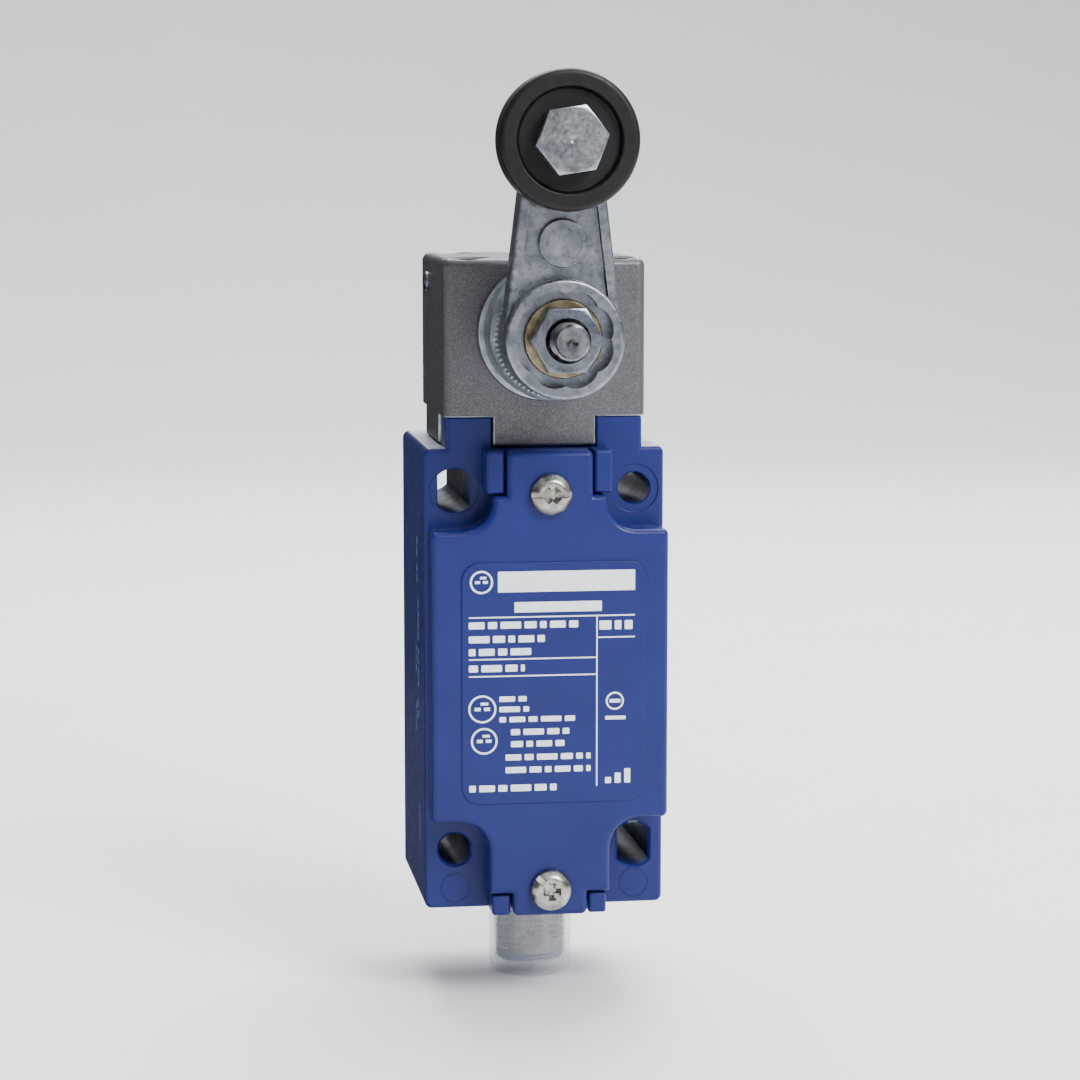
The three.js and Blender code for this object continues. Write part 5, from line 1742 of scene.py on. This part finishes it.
@dataclass
class Lever:
    """The cast lever with its lobed boss, sunk panels and round button, and the nut that clamps it."""

    length: float = 31.0
    boss: float = 9.5
    tip: float = 5.8
    rim: float = 1.6
    pocket: float = 1.3
    recess: float = 7.6
    lobe: float = 0.35
    lobes: int = 8
    button: float = 3.85
    button_at: float = 15.0

    def tapered(self, r0: float, r1: float) -> Outline:
        """Two circles and their outer tangents: the boss's at the shaft and the tip's at the roller."""
        lean = math.asin((r0 - r1) / self.length)
        points = []
        for k in range(25):
            x, z = polar(r1, lean + (math.pi - 2 * lean) * k / 24)
            points.append((x, self.length + z))
        for k in range(41):
            points.append(polar(r0, math.pi - lean + (math.pi + 2 * lean) * k / 40))
        return [(x, z + AT.shaft_z) for x, z in points]

    def lobed(self) -> Outline:
        """The boss's recess: a circle waved by lobes with sharp ridges between them."""
        points = []
        for k in range(self.lobes * 16):
            a = TURN * k / (self.lobes * 16)
            wave = abs(math.sin(self.lobes * a / 2))
            r = self.recess - self.lobe + 2 * self.lobe * (wave**0.8)
            points.append((r * math.cos(a), AT.shaft_z + r * math.sin(a)))
        return points

    def build(self, kit: Kit) -> None:
        """Makes the lever, its washer and its nut."""
        low, high = span("lever_arm")
        rear, front = high.y, low.y
        middle = (rear + front) / 2
        arm_rear, arm_front = middle + 2.6, middle - 2.6
        axis = (0, 0, AT.shaft_z)
        arm = front_plate(
            self.tapered(self.boss - 0.02, self.tip), arm_rear, arm_front, edge=0.5, rear_edge=0.5
        )
        boss = lathe(
            [(0, front, 0), (self.boss, front, 0.6), (self.boss, rear, 0.6), (0, rear, 0)], Axis.Y, 128,
            axis
        )
        tools = []
        for face, out in ((arm_rear, 1), (arm_front, -1)):
            sunk = self.tapered(self.boss - self.rim, self.tip - self.rim)
            floor = face - out * self.pocket
            edges = sorted((face + out, floor))
            panel = front_plate(
                sunk, edges[1], edges[0], edge=0.3 if out > 0 else 0, rear_edge=0.3 if out < 0 else 0
            )
            inner, outer = floor - out, face + out * 1.5
            button_at = (0, 0, AT.shaft_z + self.button_at)
            keep = [
                turned([(0, inner), (self.boss, inner), (self.boss, outer), (0, outer)], Axis.Y, 96, axis),
                rod(self.button, *sorted((inner, face - out * 0.15)), Axis.Y, 64, button_at, edge=0.25),
                rod(self.tip - self.rim / 2, *sorted((inner, outer)), Axis.Y, 64, (0, 0, AT.roller_z))
            ]
            tools.append(carved(panel, [removing(*keep)]))
        for back, near in ((rear + 1, rear - 3.2), (front + 3.2, front - 1)):
            tools.append(front_plate(self.lobed(), back, near))
        tools.append(rod(3.25, front - 1, rear + 1, Axis.Y, 64, axis))
        tools.append(rod(3.15, front - 1, rear + 1, Axis.Y, 64, (0, 0, AT.roller_z)))
        dimple = self.button - 0.9
        tools.append(tube(dimple, dimple - 0.5, arm_front - 1, arm_front + 0.3, Axis.Y, 64, button_at))
        kit.piece(
            "lever_casting", arm, LEVER_ZINC, "lever_body", ["lever_arm"], [joining(boss), removing(*tools)]
        )
        self.fasteners(kit)

    def fasteners(self, kit: Kit) -> None:
        """Makes the washer and the nut on the stud."""
        at = (0, 0, AT.shaft_z)
        low, high = span("lever_washer")
        ring = fillet([(3.1, low.y, 0.1), (6.25, low.y, 0.25), (6.25, high.y, 0.1), (3.1, high.y, 0.1)])
        kit.piece(
            "lever_washer_stamped", turned(ring, Axis.Y, 96, at), CHROMATE, "lever_body", ["lever_washer"]
        )
        low, high = span("lever_nut")
        nut = hex_head(10, low.y, high.y, at, 0.0, both=True)
        bore = rod(3.08, low.y - 1, high.y + 1, Axis.Y, 56, at)
        mouth = sink(3.08, 0.5, low.y, 0, AT.shaft_z)
        kit.piece("lever_nut_forged", nut, DARK_PLATE, "lever_body", ["lever_nut"], [removing(bore, mouth)])


def hex_head(across: float, front: float, rear: float, at: tuple, turn: float, both: bool = False) -> Shape:
    """A hexagon along Y whose corners are turned off to a cone at the front, or at both faces."""
    prism = front_plate([(x + at[0], z + at[2]) for x, z in hexagon(across, turn)], rear, front)
    r = across / 2
    corner = across / math.sqrt(3)
    slope = (corner - r) * 0.62
    profile = [(0, front), (r * 0.97, front), (corner + 0.05, front + slope)]
    profile += [(corner + 0.05, rear - slope), (r * 0.97, rear)] if both else [(corner + 0.05, rear)]
    profile.append((0, rear))
    return carved(prism, [keeping(turned(profile, Axis.Y, 96, at))])


@dataclass
class Roller:
    """The moulded roller on its brass bush, with its bolt and washer."""

    radius: float = 11.0
    dish: float = 8.25

    def build(self, kit: Kit) -> None:
        """Makes the roller's pieces."""
        at = (0, 0, AT.roller_z)
        low, high = span("roller")
        front, rear = low.y, high.y
        floor = front + 1.4
        profile = fillet(
            [
                (4.15, rear, 0.1), (8.0, rear, 0.2), (8.4, rear - 0.5, 0.2), (9.4, rear - 0.5, 0.2),
                (9.8, rear, 0.2), (self.radius, rear, 0.9), (self.radius, front, 0.9),
                (self.dish, front, 0.35), (self.dish - 0.3, floor, 0.4), (4.15, floor, 0.1)
            ],
            6
        )
        kit.piece(
            "roller_moulded", turned(profile, Axis.Y, 160, at), ROLLER_NYLON, "roller_body", ["roller"]
        )
        low, high = span("roller_bush")
        bush = fillet([(3.2, low.y, 0.2), (4.0, low.y, 0.2), (4.0, high.y, 0.2), (3.2, high.y, 0.2)])
        kit.piece("roller_bush_turned", turned(bush, Axis.Y, 72, at), BRASS, "roller_body", ["roller_bush"])
        low, high = span("roller_washer")
        washer = fillet([(3.15, low.y, 0.1), (6.0, low.y, 0.2), (6.0, high.y, 0.2), (3.15, high.y, 0.1)])
        kit.piece(
            "roller_washer_moulded", turned(washer, Axis.Y, 96, at), NATURAL_NYLON, "lever_body",
            ["roller_washer"]
        )
        low, high = span("roller_bolt")
        seat = low.y + 4
        head = hex_head(10, low.y, seat, at, 0.15)
        centre = turned(
            [(0, low.y - 1), (0.9, low.y - 1), (0.9, low.y - 0.02), (0.3, low.y + 0.35), (0, low.y + 0.35)],
            Axis.Y, 40, at
        )
        rings = [tube(r + 0.1, r, low.y - 1, low.y + 0.06, Axis.Y, 72, at) for r in (1.7, 2.5, 3.3)]
        shank = rod(3.0, seat - 0.5, high.y, Axis.Y, 64, at, 0.3)
        kit.piece(
            "roller_bolt_turned", head, BOLT_STEEL, "lever_body", ["roller_bolt"],
            [joining(shank), removing(centre, *rings)]
        )


# ---------- label ----------


@dataclass
class Label:
    """Generic printed marks in white ink: a plain bar, ruled lines, and short bars in place of words."""

    thick: float = 0.03

    def bars(self) -> list[tuple[float, float, float, float]]:
        """The plain bars, each as left, right, middle height and height."""
        made = [(-8.7, 13.9, 15.8, 3.4), (-6.0, 8.4, 11.6, 1.7)]
        made += [
            (-13.5, 13.9, 10.0, 0.22), (-13.5, 7.5, 3.1, 0.22), (-13.5, 7.5, 0.3, 0.22),
            (7.6, 13.9, 6.4, 0.22)
        ]
        return made

    def rows(self) -> list[tuple[float, float, float, float]]:
        """The rows that stand for lines of words, each as left, right, middle height and height."""
        return [
            (-13.5, 4.5, 8.7, 1.15), (-13.5, -1.0, 6.4, 1.15), (-13.5, -2.7, 4.3, 1.15),
            (-13.5, -4.3, 1.6, 1.15), (8.0, 13.5, 8.4, 1.5), (-8.5, -4.0, -3.5, 0.9),
            (-8.5, -3.6, -5.2, 0.9), (-8.5, 4.0, -6.9, 0.9), (-6.6, 4.0, -9.0, 1.0),
            (-6.6, 3.0, -11.0, 1.0), (-7.5, 6.6, -13.2, 1.0), (-7.5, 6.6, -15.3, 1.0),
            (-13.5, 1.0, -18.3, 1.1)
        ]

    def build(self, kit: Kit) -> None:
        """Makes the marks as one thin print on the label panel."""
        front = AT.cover_front - 0.3
        ink = Shape()

        def print_on(outline: list) -> None:
            nonlocal ink
            ink = ink + front_plate(outline, front + 0.01, front - self.thick)

        for left, right, z, height in self.bars():
            print_on(oblong(left, right, z - height / 2, z + height / 2, min(0.12, height * 0.4)))
        print_on(oblong(7.5, 7.72, -18.3, 10.0, 0.08))
        for row, (left, right, z, height) in enumerate(self.rows()):
            x, k = left, 0
            while x < right - 0.6:
                width = (2.6, 1.5, 3.4, 2.0, 1.1)[(row * 2 + k) % 5]
                end = min(x + width, right)
                print_on(oblong(x, end, z - height / 2, z + height / 2, 0.18))
                x, k = end + 0.55, k + 1
        for x, z, r in ((-11.4, 15.8, 1.9), (-11.3, -5.1, 2.3), (-11.0, -10.4, 2.2)):
            ink = ink + tube(r, r - 0.32, front - self.thick, front + 0.01, Axis.Y, 56, (x, 0, z))
            print_on(oblong(x - r * 0.55, x - r * 0.12, z - r * 0.12, z + r * 0.12, 0.05))
            print_on(oblong(x + r * 0.12, x + r * 0.55, z - r * 0.12, z + r * 0.12, 0.05))
            print_on(oblong(x - r * 0.12, x + r * 0.42, z + r * 0.28, z + r * 0.48, 0.05))
        ink = ink + tube(1.5, 1.2, front - self.thick, front + 0.01, Axis.Y, 48, (10.6, 0, -4.2))
        print_on(oblong(9.7, 11.5, -4.5, -3.9, 0.1))
        print_on(oblong(9.0, 12.4, -7.3, -6.7, 0.1))
        for k in range(3):
            print_on(oblong(9.0 + 1.6 * k, 10.0 + 1.6 * k, -17.9, -16.9 + 0.7 * k, 0.12))
        kit.piece("label_print", ink, WHITE_INK, "cover_body")
        self.side_marks(kit)

    def side_marks(self, kit: Kit) -> None:
        """Makes the faint dashes on the housing's left side."""
        side = -AT.half_width
        faint = Shape()
        for z0, z1, y0, y1 in (
            (18, 22, -24.5, -23.0), (13.5, 17, -24.5, -23.4), (4, 11, -26, -24.8), (-4, 2.5, -26, -24.9),
            (-2, 2.5, -22.4, -21.5), (-9.5, -5.5, -25.8, -24.6), (-12, -7, -22.4, -21.6),
            (-30, -24, -27.5, -26.6)
        ):
            z = z0
            while z < z1 - 0.4:
                end = min(z + 1.3, z1)
                faint = faint + box(side - 0.02, side + 0.01, y0, y1, z, end)
                z = end + 0.5
        kit.piece("side_print", faint, FAINT_INK, "body")


# ---------- what the housing and the head hold ----------


@dataclass
class Springs:
    """The head's return spring and the contact spring, both wound from round wire."""

    def build(self, kit: Kit) -> None:
        """Makes both springs."""
        wound = (("return_spring", 0.65, 5.0, "head_body", 5.0), ("contact_spring", 0.6, 6.0, "body", 2.0))
        for node, wire, turns, body, travel in wound:
            low, high = span(node)
            radius = (high.x - low.x) / 2 - wire / 2
            foot = (0, (low.y + high.y) / 2, low.z)
            shape = coil(radius, wire, turns, high.z - low.z, foot, SPRING_STEEL)
            spring = kit.piece(f"{node}_wound", shape, SPRING_STEEL, body, [node])
            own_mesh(spring)


@dataclass
class ContactBlock:
    """The contact block in two moulded halves, its clamp terminals and its screws."""

    half_width: float = 13.5
    low: float = -12.0
    high: float = 17.0
    corner: float = 1.0
    channel: float = 3.0
    barrier: float = 3.0
    screw_x: float = 11.3
    screw_z: float = 2.5

    def half(self, node: str) -> tuple[Shape, list[Shape]]:
        """One half's block and the cuts that both halves share."""
        low, high = span(node)
        block = front_plate(
            oblong(-self.half_width, self.half_width, self.low, self.high, self.corner), high.y, low.y, 0.5,
            0.3
        )
        near, far = AT.axis_y + self.channel, AT.axis_y - self.channel
        cuts = [
            box(-self.channel, self.channel, far, near, -4.0, self.high + 1),
            box(-8.8, 8.8, far, near, 0.1, 5.4)
        ]
        for x in (-self.screw_x, self.screw_x):
            cuts.append(rod(1.8, low.y - 1, high.y + 1, Axis.Y, 40, (x, 0, self.screw_z)))
        return block, cuts

    def build(self, kit: Kit) -> None:
        """Makes the halves, the terminals and the screws."""
        block, cuts = self.half("contact_block_base")
        ribs = [box(x, x + 0.8, -16.6, -4.3, self.low, self.low + 0.4) for x in (-9.0, -3.0, 3.0, 9.0)]
        kit.piece(
            "contact_block_rear_half", block, BLACK_NYLON, "body", ["contact_block_base"],
            [removing(*cuts, *ribs)]
        )
        block, cuts = self.half("contact_block_front")
        face = span("contact_block_front")[0].y
        walls = [
            front_plate(
                oblong(-0.7, 0.7, self.low + 1, self.high - 1, 0.4), face + 0.6, face - self.barrier,
                edge=0.35
            )
        ]
        for side in (-1, 1):
            edges = sorted((side * 0.4, side * 5.2))
            for low, high in ((5.6, 6.8), (-1.8, -0.6)):
                wall = oblong(*edges, low, high, 0.4)
                walls.append(front_plate(wall, face + 0.6, face - self.barrier * 0.7, edge=0.35))
        sunk = [
            rod(2.9, face - 1, face + 0.01, Axis.Y, 48, (x, 0, self.screw_z))
            for x in (-self.screw_x, self.screw_x)
        ]
        kit.piece(
            "contact_block_front_half", block, BLOCK_GREY, "body", ["contact_block_front"],
            [joining(*walls), removing(*cuts, *sunk)]
        )
        for number in range(1, 5):
            low, high = span(f"terminal_{number}")
            clamp = front_plate(oblong(low.x, high.x, low.z, high.z, 0.5), high.y, low.y, edge=0.35)
            x, z = (low.x + high.x) / 2, (low.z + high.z) / 2
            step = box(high.x - 1.4, high.x + 1, low.y - 1, low.y + 1.2, low.z - 1, high.z + 1)
            hole = rod(1.75, low.y - 1, high.y + 1, Axis.Y, 40, (x, 0, z))
            kit.piece(
                f"terminal_{number}_clamp", clamp, BRASS, "body", [f"terminal_{number}"],
                [removing(step, hole)]
            )
            screw = PanScrew(4.6, 1.9, 3.0, 0.5, 2.9).shape(0.6 * number).move(x, low.y, z)
            kit.piece(
                f"terminal_screw_{number}_turned", screw, PLATED_STEEL, "body", [f"terminal_screw_{number}"]
            )
        for number, x in ((1, -self.screw_x), (2, self.screw_x)):
            screw = PanScrew(5.0, 1.9, 3.0, 0.5, 22.6).shape(0.9 * number).move(x, face, self.screw_z)
            kit.piece(
                f"block_screw_{number}_turned", screw, PLATED_STEEL, "body", [f"block_screw_{number}"]
            )


@dataclass
class Inside:
    """The wiring and the bearing's parts, which keep the model's own shapes."""

    def build(self, kit: Kit) -> None:
        """Dresses the pieces behind the cover and in the bearing."""
        kit.dress(BRASS, "earth_screw", "shaft_bush")
        kit.dress(WHITE_ACETAL, "contact_plunger")
        kit.dress(SILVER, "contact_bridge")
        kit.dress(BLACK_RUBBER, "head_gasket", "shaft_seal")
        for node, finish in WIRES.items():
            self.rounded_wire(kit, node, finish)

    def rounded_wire(self, kit: Kit, node: str, finish: Moulded) -> None:
        """Makes a smooth wire from a wire node's faceted tube."""
        shape = Shape()
        shape.bm.from_mesh(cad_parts[node].data)
        bmesh.ops.remove_doubles(shape.bm, verts=shape.bm.verts, dist=0.00001)
        bmesh.ops.scale(shape.bm, vec=(1 / MM,) * 3, verts=shape.bm.verts)
        blank = object_from("wire", shape)
        smooth = blank.modifiers.new("smooth", "SUBSURF")
        smooth.levels = smooth.render_levels = 2
        fine = Shape.of(evaluated(blank))
        drop(blank)
        kit.piece(f"{node}_insulated", fine, finish, "body", [node])


PARTS = [
    Housing(), Cover(), Label(), Connector(), ProtectiveCap(), Head(), Plunger(), Shaft(), Lever(),
    Roller(), Springs(), ContactBlock(), Inside()
]


# ---------- stage ----------


@dataclass
class Stage:
    """A pale floor, plain soft light and the camera."""

    azimuth: float = -8.0
    elevation: float = 7.0
    distance: float = 525.0
    lens: float = 105.0
    target: tuple = (0.0, -30.0, 21.0)
    horizon: float = 0.3
    zenith: float = 1.3
    left_screen: float = 0.25

    def build(self) -> None:
        """Makes the floor, the lights, the surroundings and the camera."""
        scene = bpy.context.scene
        self.floor(CAD_BOX[0].z)
        a, e = math.radians(self.azimuth), math.radians(self.elevation)
        away = Vector((math.sin(a) * math.cos(e), -math.cos(a) * math.cos(e), math.sin(e)))
        target = Vector(self.target) * MM
        camera = bpy.data.objects.new("camera", bpy.data.cameras.new("camera"))
        camera.data.lens = self.lens
        camera.data.sensor_width = 36
        camera.data.clip_start, camera.data.clip_end = 0.01, 20
        camera.location = target + away * self.distance * MM
        camera.rotation_mode = "QUATERNION"
        camera.rotation_quaternion = (-away).to_track_quat("-Z", "Y")
        scene.collection.objects.link(camera)
        scene.camera = camera
        self.light("key", (0.4, -0.68, 0.6), 0.4, 12.0)
        self.light("back", (0.15, 0.45, 0.8), 0.8, 18.0)
        self.flag()
        world = bpy.data.worlds.new("surroundings")
        world.use_nodes = True
        tree = world.node_tree
        tree.nodes.clear()
        heading = add(
            tree, "ShaderNodeSeparateXYZ", {"Vector": add(tree, "ShaderNodeTexCoord").outputs["Generated"]}
        )
        levels = {"From Min": 0.05, "From Max": 0.85, "To Min": self.horizon, "To Max": self.zenith}
        upward = add(tree, "ShaderNodeMapRange", {"Value": heading.outputs["Z"], **levels}).outputs[0]
        screen = {"From Min": -0.75, "From Max": -0.2, "To Min": self.left_screen, "To Max": 1.0}
        leftward = add(tree, "ShaderNodeMapRange", {"Value": heading.outputs["X"], **screen}).outputs[0]
        level = add(tree, "ShaderNodeMath", {0: upward, 1: leftward}, operation="MULTIPLY").outputs[0]
        sky = add(tree, "ShaderNodeBackground", {"Color": srgb("#f4f6f8"), "Strength": level})
        add(tree, "ShaderNodeOutputWorld", {"Surface": sky.outputs[0]})
        scene.world = world

    def floor(self, height: float) -> None:
        """Makes the floor at a height in metres, and sweeps it up behind."""
        near, far, bend, rise, half = -8.0, 0.9, 0.5, 2.2, 12.0
        side = [(near, height), (far, height)]
        angles = [math.pi / 2 * k / 12 for k in range(1, 13)]
        side += [(far + bend * math.sin(a), height + bend * (1 - math.cos(a))) for a in angles]
        side.append((far + bend, rise))
        verts = [(x, y, z) for y, z in side for x in (-half, half)]
        faces = [(2 * i, 2 * i + 1, 2 * i + 3, 2 * i + 2) for i in range(len(side) - 1)]
        mesh = bpy.data.meshes.new("floor")
        mesh.from_pydata(verts, [], faces)
        for polygon in mesh.polygons:
            polygon.use_smooth = True
        surface = Surface("pale_board")
        surface.link("Base Color", surface.blend(surface.noise(60.0, 3.0), "#f0f1f2", "#f5f6f7"))
        surface.set(Roughness=0.85)
        mesh.materials.append(surface.material)
        floor = bpy.data.objects.new("floor", mesh)
        bpy.context.scene.collection.objects.link(floor)

    def flag(self) -> None:
        """Stands a dark card behind on the left. Only gloss shows it, and a side seen edge-on stays deep."""
        left, right, back, front, near, high = -0.5, -0.021, 0.3, 0.15, -0.05, 0.3
        low = CAD_BOX[0].z + 0.0005
        mesh = bpy.data.meshes.new("flag")
        corners = [(right, back, low), (left, front, low), (left, front, high), (right, back, high)]
        corners += [(left, near, low), (right, near, low)]
        mesh.from_pydata(corners, [], [(0, 1, 2, 3), (0, 1, 4, 5)])
        surface = Surface("dark_card")
        surface.link("Base Color", surface.blend(surface.noise(60.0, 3.0), "#1b1d22", "#202228"))
        surface.set(Roughness=0.9)
        mesh.materials.append(surface.material)
        card = bpy.data.objects.new("flag", mesh)
        card.visible_camera = card.visible_diffuse = card.visible_shadow = card.visible_transmission = False
        bpy.context.scene.collection.objects.link(card)

    def light(self, name: str, place: tuple, size: float, power: float) -> None:
        """Makes a soft square light that faces the object, its place and size in metres."""
        lamp = bpy.data.lights.new(name, "AREA")
        lamp.shape = "SQUARE"
        lamp.size = size
        lamp.energy = power
        obj = bpy.data.objects.new(name, lamp)
        obj.location = Vector(place)
        obj.rotation_mode = "QUATERNION"
        obj.rotation_quaternion = (Vector(self.target) * MM - obj.location).to_track_quat("-Z", "Y")
        bpy.context.scene.collection.objects.link(obj)


# ---------- run ----------


def main() -> None:
    """Builds every sub-assembly and the stage, and reports the pieces."""
    logging.basicConfig(level=logging.INFO, format="%(name)s: %(message)s", stream=sys.stdout)
    kit = Kit()
    Stage().build()
    for part in PARTS:
        part.build(kit)
    log.info("%d pieces: %s", len(kit.made), ", ".join(kit.made))


if __name__ == "__main__":
    main()
